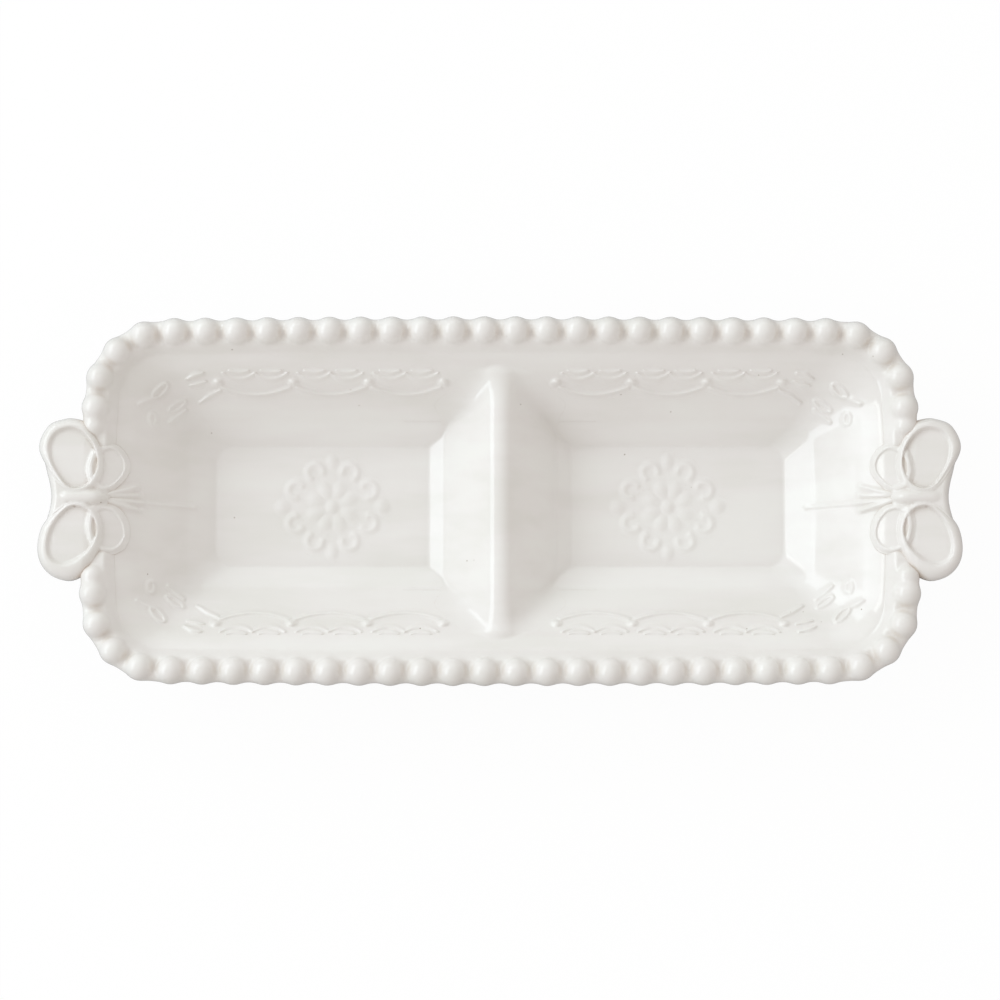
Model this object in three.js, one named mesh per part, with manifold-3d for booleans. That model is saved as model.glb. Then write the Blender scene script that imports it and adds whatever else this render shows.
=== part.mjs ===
import * as THREE from "three";
import { mergeVertices } from "three/addons/utils/BufferGeometryUtils.js";
import Module from "manifold-3d";

// Two-section serving dish of glazed ceramic, with a beaded rim and a butterfly handle at each end.
// Millimetres. X runs along the dish, Y to its back, Z up from the table under its middle.

// Gap between two elements that are luted together
const GAP = 0.3;

// Bead line: the closed curve that the bead centres follow, bowed outwards on all four sides
const BEAD_LINE_LENGTH = 314.6;
const BEAD_LINE_WIDTH = 132.4;
const BEAD_LINE_CORNER = 24;
const END_BOW = 3;
const SIDE_BOW = 1;

// Beads of the rim
const BEAD_DIAMETER = 10.4;
const BEAD_PITCH = 12.06;
const BEAD_RISE = 2.3;
const NECK_DIAMETER = 6.8;
const LAST_BEAD_DIAMETER = 8.4;
const LAST_BEAD_STEP = 8;

// Dish body: heights above the table, then the walls
const RIM_HEIGHT = 34.4;
const FLOOR_HEIGHT = 7.5;
const FOOT_HEIGHT = 2.5;
const FOOT_WIDTH = 5;
const FOOT_INSET = 3;
const WALL = 5;
const BASE_ROUND = 2.5;
const FLANGE_DEPTH = 8;
const FLANGE_EDGE = 2.9;
const FLANGE_DRAFT = 0.6;
const FLANGE_OVERHANG = 4.1;
const LEDGE_WIDTH = 4.5;
const LEDGE_CHAMFER = 1.2;
const SIDE_WALL_RUN = 25;
const END_WALL_RUN = 27.5;
const FLOOR_CORNER = 7;
const FLOOR_FILLET = 12;

// Divider between the basins
const RIDGE_RISE = 22.5;
const RIDGE_RADIUS = 4.6;
const DIVIDER_BASE_WIDTH = 49;
const DIVIDER_FILLET = 8;
const DIVIDER_WALL = 5;
const DIVIDER_EDGE = 0.6;
const SLOT_MARGIN = 2;

// Handles: the stretch of bead line that each takes, heights, then the details of the butterfly
const HANDLE_SPAN = 60;
const TAB_THICKNESS = 6;
const TAB_ROUND = 2;
const TAB_RISE = 2.1;
const WING_THICKNESS = 2.9;
const WING_EDGE = 1.1;
const WING_MARGIN = 3.6;
const WING_RECESS = 1.6;
const INNER_WING_THICKNESS = 1.9;
const INNER_WING_EDGE = 0.8;
const INNER_WING_MARGIN = 2.4;
const INNER_WING_RECESS = 1;
const SPINDLE_WIDTH = 4.6;
const SPINDLE_HEIGHT = 3.6;
const SPINDLE_TIP = 0.4;
const SPINDLE_OUTER = 15;
const SPINDLE_INNER = -8;
const SPINDLE_Y = 1.2;
const ANTENNA_DIAMETER = 2.2;
const ANTENNA_DROP = 9;
const ANTENNA_SPREAD = 2;

// Butterfly outlines: distance outwards from the end of the bead line, then Y
const TAB_OUTLINE = [
  [4, 31], [9.5, 31.2], [16.6, 28.6], [20, 20], [19, 13], [16.6, 6.2], [15.9, 1.5], [16.5, -3.1],
  [18.9, -10], [20.5, -18.1], [19.2, -24], [15.5, -28.4], [8.4, -30.5], [3.5, -30], [-1.5, -22],
  [-2, -8], [-8.5, -2], [-8.5, 4.5], [-2, 10], [-1.5, 22],
];
const BACK_WING_OUTLINE = [
  [7.5, 3.9], [15.2, 9.5], [20.4, 20], [17.2, 28.8], [9.5, 31.6], [2.6, 28], [-0.8, 19.5], [1.8, 9.5],
];
const FRONT_WING_OUTLINE = [
  [5, -1.6], [13.5, -4.5], [19.2, -10], [20.9, -18.1], [19.5, -24.5], [15.5, -29], [8.4, -30.9],
  [2.4, -26.5], [-0.9, -18], [0.8, -8],
];
const BACK_INNER_WING_OUTLINE = [
  [-6.1, 22.5], [-11.8, 20], [-14.7, 15.3], [-12, 9], [-7, 4], [-2.4, 6.2], [-0.9, 14], [-1.8, 20],
];
const FRONT_INNER_WING_OUTLINE = [
  [-4.7, -2.2], [-10.8, -3.2], [-14.5, -9], [-14.7, -13.5], [-12.4, -19], [-7.8, -21.3], [-2.4, -19.5],
  [-1.5, -10],
];

// Medallion on each basin floor
const MEDALLION_X = 66.5;
const RELIEF_HEIGHT = 1;
const RELIEF_WIDTH = 1.5;
const MEDALLION_LOBES = 8;
const LOBE_RADIUS = 3.6;
const LOBE_OPENING = Math.PI / 2;
const ROSETTE_LENGTH = 33;
const ROSETTE_WIDTH = 31;
const BOSS_RADIUS = 2.4;
const PETAL_WIDTH = 3.2;
const PEARL_REACH_X = 21.2;
const PEARL_REACH_Y = 19.2;
const PEARL_RADIUS = 2.6;

// Lace swags on the long walls, measured down the wall from the edge of the ledge
const SWAG_PEARL_DROP = 12.3;
const SWAG_PEARL_RADIUS = 1.9;
const SWAG_START = 22;
const SWAG_PITCH = 29.2;
const SWAG_SAG = 6.2;
const SWAG_TAIL_LENGTH = 10;
const SWAG_TAIL_DROP = 6;
const LACE_RISE = 2.2;
const LACE_SAG = 2.6;
const LACE_PER_SCALLOP = 2;

// Steps of the curves
const CORNER_STEPS = 6;
const SIDE_STEPS = 6;
const FILLET_STEPS = 3;
const BEAD_STEPS = 4;
const BEAD_SIDES = 6;
const OUTLINE_STEPS = 20;
const TAB_STEPS = 36;
const ARC_STEPS = 5;
const LACE_STEPS = 3;
const PEARL_SIDES = 6;
const ANTENNA_STEPS = 6;
const ANTENNA_SIDES = 6;

const GLAZE = { color: 0xf1eee7, roughness: 0.12, metalness: 0 };

// Places worked out from the sizes
const lineHalfLength = BEAD_LINE_LENGTH / 2;
const lineHalfWidth = BEAD_LINE_WIDTH / 2;
const ledgeInset = BEAD_DIAMETER / 2 + LEDGE_WIDTH;
const edgeHalfLength = lineHalfLength - ledgeInset;
const edgeHalfWidth = lineHalfWidth - SIDE_BOW - ledgeInset;
const basinDepth = RIM_HEIGHT - FLOOR_HEIGHT;
const wallAngle = Math.atan2(basinDepth, SIDE_WALL_RUN);
const underside = FOOT_HEIGHT + GAP;
const tabTop = RIM_HEIGHT + TAB_RISE;
const spaceMargin = 2 * BEAD_DIAMETER + lineHalfWidth;

const wasm = await Module();
wasm.setup();

function signedVolume(positions, indices) {
  let sum = 0;
  const a = new THREE.Vector3();
  const b = new THREE.Vector3();
  const c = new THREE.Vector3();
  for (let i = 0; i < indices.length; i += 3) {
    a.fromArray(positions, indices[i] * 3);
    b.fromArray(positions, indices[i + 1] * 3);
    c.fromArray(positions, indices[i + 2] * 3);
    sum += a.dot(b.cross(c));
  }
  return sum;
}

// A closed geometry as a solid that can be joined and cut
function toSolid(geometry) {
  const bare = geometry.clone();
  bare.deleteAttribute("normal");
  bare.deleteAttribute("uv");
  const merged = mergeVertices(bare, 1e-4);
  const positions = new Float32Array(merged.getAttribute("position").array);
  const indices = [...merged.getIndex().array];
  if (signedVolume(positions, indices) < 0) {
    indices.reverse();
  }
  const triVerts = new Uint32Array(indices);
  return new wasm.Manifold(new wasm.Mesh({ numProp: 3, vertProperties: positions, triVerts }));
}

function toGeometry(solid) {
  const mesh = solid.getMesh();
  const geometry = new THREE.BufferGeometry();
  geometry.setAttribute("position", new THREE.BufferAttribute(mesh.vertProperties, 3));
  geometry.setIndex(new THREE.BufferAttribute(mesh.triVerts, 1));
  geometry.computeVertexNormals();
  return geometry;
}

function join(solids) {
  return solids.reduce((whole, solid) => whole.add(solid));
}

function node(name, solid) {
  const mesh = new THREE.Mesh(toGeometry(solid), new THREE.MeshStandardMaterial(GLAZE));
  mesh.name = name;
  return mesh;
}

// Skin over a row of rings with equal counts of points, capped at both ends or closed on itself
function loft(rings, closed = false) {
  const count = rings[0].length;
  const points = rings.flat();
  const indices = [];
  const spans = closed ? rings.length : rings.length - 1;
  for (let i = 0; i < spans; i += 1) {
    const next = (i + 1) % rings.length;
    for (let j = 0; j < count; j += 1) {
      const k = (j + 1) % count;
      indices.push(i * count + j, i * count + k, next * count + k);
      indices.push(i * count + j, next * count + k, next * count + j);
    }
  }
  const capStarts = closed ? [] : [0, (rings.length - 1) * count];
  capStarts.forEach((start, end) => {
    const middle = new THREE.Vector3();
    for (let j = 0; j < count; j += 1) {
      middle.addScaledVector(points[start + j], 1 / count);
    }
    const hub = points.push(middle) - 1;
    for (let j = 0; j < count; j += 1) {
      const rim = [start + j, start + (j + 1) % count];
      indices.push(hub, rim[1 - end], rim[end]);
    }
  });
  const geometry = new THREE.BufferGeometry().setFromPoints(points);
  geometry.setIndex(indices);
  return toSolid(geometry);
}

// Rounded rectangle with bowed sides, from the middle of its +X end round by the back
function outline(halfLength, halfWidth, radius, endBow, sideBow) {
  const a = halfLength - endBow;
  const b = halfWidth - sideBow;
  const signs = [[1, 1], [-1, 1], [-1, -1], [1, -1]];
  const cornerPoint = (quarter, share) => {
    const [signX, signY] = signs[quarter % 4];
    const angle = (quarter + share) * Math.PI / 2;
    const x = signX * (a - radius) + radius * Math.cos(angle);
    const y = signY * (b - radius) + radius * Math.sin(angle);
    return new THREE.Vector2(x, y);
  };
  const points = [];
  for (let quarter = 0; quarter < 4; quarter += 1) {
    for (let i = 0; i <= CORNER_STEPS; i += 1) {
      points.push(cornerPoint(quarter, i / CORNER_STEPS));
    }
    const from = points.at(-1);
    const to = cornerPoint(quarter + 1, 0);
    for (let i = 1; i < SIDE_STEPS; i += 1) {
      points.push(from.clone().lerp(to, i / SIDE_STEPS));
    }
  }
  const bowed = points.map((p) => new THREE.Vector2(
    p.x * (1 + (endBow / a) * (1 - (p.y / b) ** 2)),
    p.y * (1 + (sideBow / b) * (1 - (p.x / a) ** 2)),
  ));
  const half = SIDE_STEPS / 2;
  return bowed.slice(-half).concat(bowed.slice(0, -half));
}

function atHeight(points, z) {
  return points.map((p) => new THREE.Vector3(p.x, p.y, z));
}

// Ring of the inner wall, at a share of the way from the floor's corner (0) to the ledge's edge (1)
function wallRing(share, inset, z) {
  const sizes = [
    edgeHalfLength - (1 - share) * END_WALL_RUN - inset,
    edgeHalfWidth - (1 - share) * SIDE_WALL_RUN - inset,
    THREE.MathUtils.lerp(FLOOR_CORNER, BEAD_LINE_CORNER - ledgeInset, Math.max(share, 0)),
    END_BOW * Math.max(share, 0),
  ];
  return atHeight(outline(...sizes, 0), z);
}

// Rings of the basins' hollow from the floor up to the ledge, kept clear of the body by a gap
function hollowRings(gap) {
  const inset = gap * Math.tan(wallAngle / 2);
  const rings = [];
  for (let i = 0; i <= FILLET_STEPS; i += 1) {
    const angle = wallAngle * i / FILLET_STEPS;
    const outwards = FLOOR_FILLET * (Math.sin(angle) - Math.tan(wallAngle / 2));
    const z = FLOOR_HEIGHT + FLOOR_FILLET * (1 - Math.cos(angle)) + gap;
    rings.push(wallRing(outwards / SIDE_WALL_RUN, inset, z));
  }
  rings.push(wallRing(1 - LEDGE_CHAMFER / basinDepth, inset, RIM_HEIGHT - LEDGE_CHAMFER + gap));
  rings.push(wallRing(1, inset - LEDGE_CHAMFER / 2, RIM_HEIGHT + gap));
  return rings;
}

// The free space in the dish and above its ledge
function openSpace(gap) {
  const rings = hollowRings(gap);
  const wide = wallRing(1, -spaceMargin, RIM_HEIGHT + gap);
  const high = wallRing(1, -spaceMargin, RIM_HEIGHT + spaceMargin);
  return loft([...rings, wide, high]);
}

// Half sizes and corner of the body's outside at a height, below the flange
function outsideSizes(z, inset) {
  const share = (z - FLOOR_HEIGHT) / basinDepth;
  const thickness = WALL / Math.sin(wallAngle);
  return [
    edgeHalfLength - (1 - share) * END_WALL_RUN + thickness - inset,
    edgeHalfWidth - (1 - share) * SIDE_WALL_RUN + thickness - inset,
    FLOOR_CORNER + thickness + Math.max(share, 0) * FLOOR_CORNER,
    END_BOW * Math.max(share, 0),
  ];
}

function rimRing(offset, z) {
  const sizes = [lineHalfLength + offset, lineHalfWidth + offset, BEAD_LINE_CORNER + offset];
  return atHeight(outline(...sizes, END_BOW, SIDE_BOW), z);
}

function outside(gap) {
  const levels = [
    [underside, BASE_ROUND],
    [underside + BASE_ROUND, 0],
    [RIM_HEIGHT - FLANGE_DEPTH, 0],
  ];
  const rings = levels.map(([z, inset]) => atHeight(outline(...outsideSizes(z, inset - gap), 0), z - gap));
  rings.push(rimRing(FLANGE_OVERHANG - FLANGE_DRAFT + gap, RIM_HEIGHT - FLANGE_EDGE));
  rings.push(rimRing(FLANGE_OVERHANG + gap, RIM_HEIGHT + gap));
  return loft(rings);
}

// Half sizes of the foot ring: its outer edge, then its inner edge
const footOuter = outsideSizes(underside, BASE_ROUND + FOOT_INSET);
const footInner = outsideSizes(underside, BASE_ROUND + FOOT_INSET + FOOT_WIDTH);

// The divider's slope is tangent to its ridge: height of the ridge's centre and the slope's angle
const ridgeCentre = FLOOR_HEIGHT + RIDGE_RISE - RIDGE_RADIUS;
const baseReach = Math.hypot(DIVIDER_BASE_WIDTH / 2, ridgeCentre - FLOOR_HEIGHT);
const slopeAngle = Math.atan2(ridgeCentre - FLOOR_HEIGHT, DIVIDER_BASE_WIDTH / 2)
  + Math.asin(RIDGE_RADIUS / baseReach);
const hollowHalfWidth = DIVIDER_BASE_WIDTH / 2 - DIVIDER_WALL / Math.sin(slopeAngle);

function dishBody() {
  const hollow = hollowRings(0);
  hollow.push(wallRing(1, -LEDGE_CHAMFER / 2, RIM_HEIGHT + LEDGE_CHAMFER));
  const slotLength = 2 * (footInner[1] - SLOT_MARGIN);
  const slot = new THREE.BoxGeometry(2 * hollowHalfWidth, slotLength, 2 * FLOOR_HEIGHT);
  slot.translate(0, 0, FLOOR_HEIGHT);
  return outside(0).subtract(loft(hollow)).subtract(toSolid(slot));
}

function footRing() {
  const ring = new THREE.Shape(outline(...footOuter, 0));
  ring.holes.push(new THREE.Path(outline(...footInner, 0)));
  const foot = new THREE.ExtrudeGeometry(ring, { depth: FOOT_HEIGHT, bevelEnabled: false });
  return toSolid(foot);
}

// Right half of the divider's outer section, from its edge on the floor up to the ridge's top
function dividerProfile() {
  const points = [];
  const base = FLOOR_HEIGHT + GAP;
  const tangent = DIVIDER_FILLET * Math.tan(slopeAngle / 2);
  const fillet = new THREE.Vector2(DIVIDER_BASE_WIDTH / 2 + tangent, FLOOR_HEIGHT + DIVIDER_FILLET);
  const start = Math.acos(1 - (GAP + DIVIDER_EDGE) / DIVIDER_FILLET);
  points.push(new THREE.Vector2(fillet.x - DIVIDER_FILLET * Math.sin(start), base));
  for (let i = 0; i <= FILLET_STEPS; i += 1) {
    const angle = THREE.MathUtils.lerp(start, slopeAngle, i / FILLET_STEPS);
    const x = fillet.x - DIVIDER_FILLET * Math.sin(angle);
    points.push(new THREE.Vector2(x, fillet.y - DIVIDER_FILLET * Math.cos(angle)));
  }
  for (let i = 0; i <= FILLET_STEPS; i += 1) {
    const angle = slopeAngle * (1 - i / FILLET_STEPS);
    const x = RIDGE_RADIUS * Math.sin(angle);
    points.push(new THREE.Vector2(x, ridgeCentre + RIDGE_RADIUS * Math.cos(angle)));
  }
  return points;
}

// Saddle with an open underside, trimmed to the long walls
function divider() {
  const right = dividerProfile();
  const left = right.slice(0, -1).reverse().map((p) => new THREE.Vector2(-p.x, p.y));
  const hollowTop = FLOOR_HEIGHT + hollowHalfWidth * Math.tan(slopeAngle);
  const base = FLOOR_HEIGHT + GAP;
  const hollow = [
    new THREE.Vector2(-hollowHalfWidth, base),
    new THREE.Vector2(0, hollowTop),
    new THREE.Vector2(hollowHalfWidth, base),
  ];
  const section = new THREE.Shape([...right, ...left, ...hollow]);
  const length = 2 * lineHalfWidth;
  const saddle = new THREE.ExtrudeGeometry(section, { depth: length, bevelEnabled: false });
  saddle.rotateX(Math.PI / 2);
  saddle.translate(0, length / 2, 0);
  return toSolid(saddle).intersect(openSpace(GAP));
}

const beadLine = new THREE.CatmullRomCurve3(rimRing(0, 0), true);
beadLine.arcLengthDivisions = 1000;

// Section of a bead row: a round of the given radius whose foot is cut flat by the ledge
function beadSection(distance, radius) {
  const along = THREE.MathUtils.euclideanModulo(distance / beadLine.getLength(), 1);
  const centre = beadLine.getPointAt(along);
  const tangent = beadLine.getTangentAt(along);
  const start = -Math.asin(BEAD_RISE / radius);
  const points = [];
  for (let i = 0; i <= BEAD_SIDES; i += 1) {
    const angle = THREE.MathUtils.lerp(start, Math.PI - start, i / BEAD_SIDES);
    const offset = radius * Math.cos(angle);
    const z = RIM_HEIGHT + GAP + BEAD_RISE + radius * Math.sin(angle);
    points.push(new THREE.Vector3(centre.x + tangent.y * offset, centre.y - tangent.x * offset, z));
  }
  return points;
}

// Row of beads: beads are [distance, diameter] pairs in order, from a start to an end along the line
function beadRow(start, beads, end) {
  const neck = NECK_DIAMETER / 2;
  const rings = [beadSection(start, neck)];
  const forwards = Math.sign(end - start);
  beads.forEach(([distance, diameter]) => {
    const reach = Math.acos(neck / (diameter / 2));
    for (let i = 0; i <= BEAD_STEPS; i += 1) {
      const angle = reach * (2 * i / BEAD_STEPS - 1);
      const place = distance + forwards * Math.sin(angle) * diameter / 2;
      rings.push(beadSection(place, Math.cos(angle) * diameter / 2));
    }
  });
  rings.push(beadSection(end, neck));
  return loft(rings);
}

// Whole beads fill the line from the middle of a long side to the handle, and the straight part of it
const quarterLine = beadLine.getLength() / 4;
const quarterReach = quarterLine - HANDLE_SPAN / 2;
const quarterBeads = Math.round(quarterReach / BEAD_PITCH);
const pitch = quarterReach / quarterBeads;
const halfSideBeads = Math.round((lineHalfLength - BEAD_LINE_CORNER) / pitch);
const sideReach = halfSideBeads * pitch;

function sideBeads(middle) {
  const beads = [];
  for (let i = -halfSideBeads; i < halfSideBeads; i += 1) {
    beads.push([middle + (i + 0.5) * pitch, BEAD_DIAMETER]);
  }
  return beadRow(middle - sideReach, beads, middle + sideReach);
}

// Beads from the end of a long side round its corner to the handle
function cornerBeads(middle, forwards, handle) {
  const beads = [];
  for (let i = halfSideBeads; i < quarterBeads; i += 1) {
    beads.push([middle + forwards * (i + 0.5) * pitch, BEAD_DIAMETER]);
  }
  const last = beads.at(-1)[0] + forwards * LAST_BEAD_STEP;
  beads.push([last, LAST_BEAD_DIAMETER]);
  const start = middle + forwards * (sideReach + GAP);
  return beadRow(start, beads, last + forwards * LAST_BEAD_DIAMETER / 2).subtract(handle);
}

// Smooth closed outline through a butterfly's points, on the left (-1) or right (1) end
function wingCurve(side, points, steps) {
  const knots = points.map(([out, y]) => new THREE.Vector3(side * (lineHalfLength + out), y, 0));
  return new THREE.CatmullRomCurve3(knots, true).getPoints(steps).slice(0, -1);
}

// The outline drawn in towards its middle by an inset, at a height
function insetRing(points, inset, z) {
  const middle = new THREE.Vector3();
  points.forEach((p) => middle.addScaledVector(p, 1 / points.length));
  return points.map((p) => {
    const inwards = middle.clone().sub(p).setLength(inset);
    return p.clone().add(inwards).setZ(z);
  });
}

function handleTab(side, gap) {
  const points = wingCurve(side, TAB_OUTLINE, TAB_STEPS);
  const bottom = tabTop - TAB_THICKNESS;
  const slab = loft([
    insetRing(points, TAB_ROUND - gap, bottom - gap),
    insetRing(points, TAB_ROUND * (1 - Math.SQRT1_2) - gap, bottom + TAB_ROUND * (1 - Math.SQRT1_2)),
    insetRing(points, -gap, bottom + TAB_ROUND),
    insetRing(points, -gap, tabTop + gap),
  ]);
  return gap > 0 ? slab : slab.subtract(outside(GAP));
}

// Wing plate with a rounded rim round a shallow recess
function wingPlate(side, points, size, gap) {
  const curve = wingCurve(side, points, OUTLINE_STEPS);
  const top = size.base + size.thickness;
  const inner = size.margin + size.recess;
  return loft([
    insetRing(curve, -gap, size.base - size.depth),
    insetRing(curve, -gap, top - size.edge + gap),
    insetRing(curve, size.edge * (1 - Math.SQRT1_2) - gap, top - size.edge * (1 - Math.SQRT1_2) + gap),
    insetRing(curve, size.edge, top + gap),
    insetRing(curve, size.margin, top + gap),
    insetRing(curve, inner, top - size.recess + gap),
  ]);
}

const OUTER_WING = {
  base: tabTop + GAP,
  depth: 0,
  thickness: WING_THICKNESS,
  edge: WING_EDGE,
  margin: WING_MARGIN,
  recess: WING_RECESS,
};

// The inner wings reach down to the wall below the ledge
const INNER_WING = {
  base: tabTop + GAP,
  depth: basinDepth / 2,
  thickness: INNER_WING_THICKNESS,
  edge: INNER_WING_EDGE,
  margin: INNER_WING_MARGIN,
  recess: INNER_WING_RECESS,
};

// Tapered spindle that lies on the tab between the wings, half round above a flat base
function spindle(side, gap) {
  const rings = [];
  for (let i = 0; i <= ARC_STEPS; i += 1) {
    const share = i / ARC_STEPS;
    const out = THREE.MathUtils.lerp(SPINDLE_OUTER + gap, SPINDLE_INNER - gap, share);
    const swell = SPINDLE_TIP + (1 - SPINDLE_TIP) * Math.sin(Math.PI * share);
    const ring = [];
    for (let j = 0; j <= ARC_STEPS; j += 1) {
      const angle = Math.PI * j / ARC_STEPS;
      const y = SPINDLE_Y + (swell * SPINDLE_WIDTH / 2 + gap) * Math.cos(angle);
      const z = tabTop + GAP - gap + (swell * SPINDLE_HEIGHT + 2 * gap) * Math.sin(angle);
      ring.push(new THREE.Vector3(side * (lineHalfLength + out), y, z));
    }
    rings.push(ring);
  }
  return loft(rings);
}

// Feeler from the butterfly's head over the ledge and down the end wall, to the back (1) or front (-1)
function antenna(side, way) {
  const slope = END_WALL_RUN / basinDepth;
  const onWall = (share, drop) => new THREE.Vector3(
    side * (edgeHalfLength - drop * slope),
    SPINDLE_Y + way * ((ANTENNA_DIAMETER + GAP) / 2 + share * ANTENNA_SPREAD),
    RIM_HEIGHT - drop + GAP,
  );
  const head = onWall(0, 0).setX(side * (lineHalfLength + SPINDLE_INNER));
  const knots = [head, onWall(0.2, LEDGE_CHAMFER), onWall(0.6, ANTENNA_DROP / 2), onWall(1, ANTENNA_DROP)];
  const path = new THREE.CatmullRomCurve3(knots);
  const round = new THREE.Shape();
  round.absarc(0, 0, ANTENNA_DIAMETER / 2, 0, 2 * Math.PI);
  const options = {
    extrudePath: path,
    steps: ANTENNA_STEPS,
    curveSegments: ANTENNA_SIDES,
    bevelEnabled: false,
  };
  return toSolid(new THREE.ExtrudeGeometry(round, options));
}

function butterfly(side, name) {
  const space = openSpace(GAP);
  const tabRoom = handleTab(side, GAP);
  const spindleRoom = spindle(side, GAP);
  const outer = [BACK_WING_OUTLINE, FRONT_WING_OUTLINE];
  const inner = [BACK_INNER_WING_OUTLINE, FRONT_INNER_WING_OUTLINE];
  const outerRooms = outer.map((points) => wingPlate(side, points, OUTER_WING, GAP));
  const innerRooms = inner.map((points) => wingPlate(side, points, INNER_WING, GAP));
  const wings = outer.map((points) => wingPlate(side, points, OUTER_WING, 0).subtract(spindleRoom));
  const taken = join([tabRoom, spindleRoom, ...outerRooms]);
  const innerPlates = inner.map((points) => wingPlate(side, points, INNER_WING, 0));
  const innerWings = innerPlates.map((plate) => plate.intersect(space).subtract(taken));
  const antennaRoom = join([taken, ...innerRooms]);
  const antennae = [1, -1].map((way) => antenna(side, way).intersect(space).subtract(antennaRoom));
  const group = new THREE.Group();
  group.add(node(`${name}_handle_tab`, handleTab(side, 0)));
  group.add(node(`${name}_butterfly_body`, spindle(side, 0)));
  ["back", "front"].forEach((place, i) => {
    group.add(node(`${name}_${place}_wing`, wings[i]));
    group.add(node(`${name}_${place}_inner_wing`, innerWings[i]));
    group.add(node(`${name}_${place}_antenna`, antennae[i]));
  });
  return { group, room: antennaRoom };
}

// Low ridge along a flat row of points, with a width at each share of its length
function ridge(points, widthAt, height, closed = false) {
  const last = points.length - 1;
  const rings = points.map((p, i) => {
    const before = points[i > 0 ? i - 1 : closed ? last : 0];
    const after = points[i < last ? i + 1 : closed ? 0 : last];
    const across = after.clone().sub(before).normalize().rotateAround(new THREE.Vector2(), Math.PI / 2);
    const half = widthAt(i / last) / 2;
    const left = p.clone().addScaledVector(across, half);
    const right = p.clone().addScaledVector(across, -half);
    return [
      new THREE.Vector3(left.x, left.y, 0),
      new THREE.Vector3(p.x, p.y, height),
      new THREE.Vector3(right.x, right.y, 0),
    ];
  });
  return loft(rings, closed);
}

// Arc from one point to another that sags sideways by a given depth
function sagArc(from, to, sag, steps) {
  const points = [];
  for (let i = 0; i <= steps; i += 1) {
    const share = i / steps;
    const point = from.clone().lerp(to, share);
    point.y -= 4 * sag * share * (1 - share);
    points.push(point);
  }
  return points;
}

// Low round drop with a flattened top
function pearl(x, y, radius, height) {
  const levels = [[radius, 0], [0.9 * radius, 0.5 * height], [0.5 * radius, height]];
  const rings = levels.map(([r, z]) => {
    const ring = [];
    for (let i = 0; i < PEARL_SIDES; i += 1) {
      const angle = 2 * Math.PI * i / PEARL_SIDES;
      ring.push(new THREE.Vector3(x + r * Math.cos(angle), y + r * Math.sin(angle), z));
    }
    return ring;
  });
  return loft(rings);
}

// Whole scallops fill a long wall from the divider to the floor's end, less the tail
const swagReach = edgeHalfLength - END_WALL_RUN - SWAG_START - SWAG_TAIL_LENGTH;
const scallops = Math.round(swagReach / SWAG_PITCH);
const scallopPitch = swagReach / scallops;

// Lace garland: scallops between pearls, two small lace scallops above each, and a tail at its end
function swag(outwards) {
  const even = () => RELIEF_WIDTH;
  const pearlX = (i) => outwards * (SWAG_START + i * scallopPitch);
  const solids = [];
  for (let i = 0; i <= scallops; i += 1) {
    solids.push(pearl(pearlX(i), -SWAG_PEARL_DROP, SWAG_PEARL_RADIUS, RELIEF_HEIGHT));
  }
  for (let i = 0; i < scallops; i += 1) {
    const from = new THREE.Vector2(pearlX(i), -SWAG_PEARL_DROP);
    const to = new THREE.Vector2(pearlX(i + 1), -SWAG_PEARL_DROP);
    solids.push(ridge(sagArc(from, to, SWAG_SAG, ARC_STEPS), even, RELIEF_HEIGHT));
    const lift = new THREE.Vector2(0, LACE_RISE);
    for (let j = 0; j < LACE_PER_SCALLOP; j += 1) {
      const start = from.clone().lerp(to, j / LACE_PER_SCALLOP).add(lift);
      const end = from.clone().lerp(to, (j + 1) / LACE_PER_SCALLOP).add(lift);
      const crescent = (share) => RELIEF_WIDTH * (0.5 + Math.sin(Math.PI * share));
      solids.push(ridge(sagArc(start, end, LACE_SAG, LACE_STEPS), crescent, RELIEF_HEIGHT));
    }
  }
  const last = new THREE.Vector2(pearlX(scallops), -SWAG_PEARL_DROP);
  const tail = last.clone().add(new THREE.Vector2(outwards * SWAG_TAIL_LENGTH, -SWAG_TAIL_DROP));
  solids.push(ridge(sagArc(last, tail, -LACE_SAG / 2, LACE_STEPS), even, RELIEF_HEIGHT));
  return join(solids);
}

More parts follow.
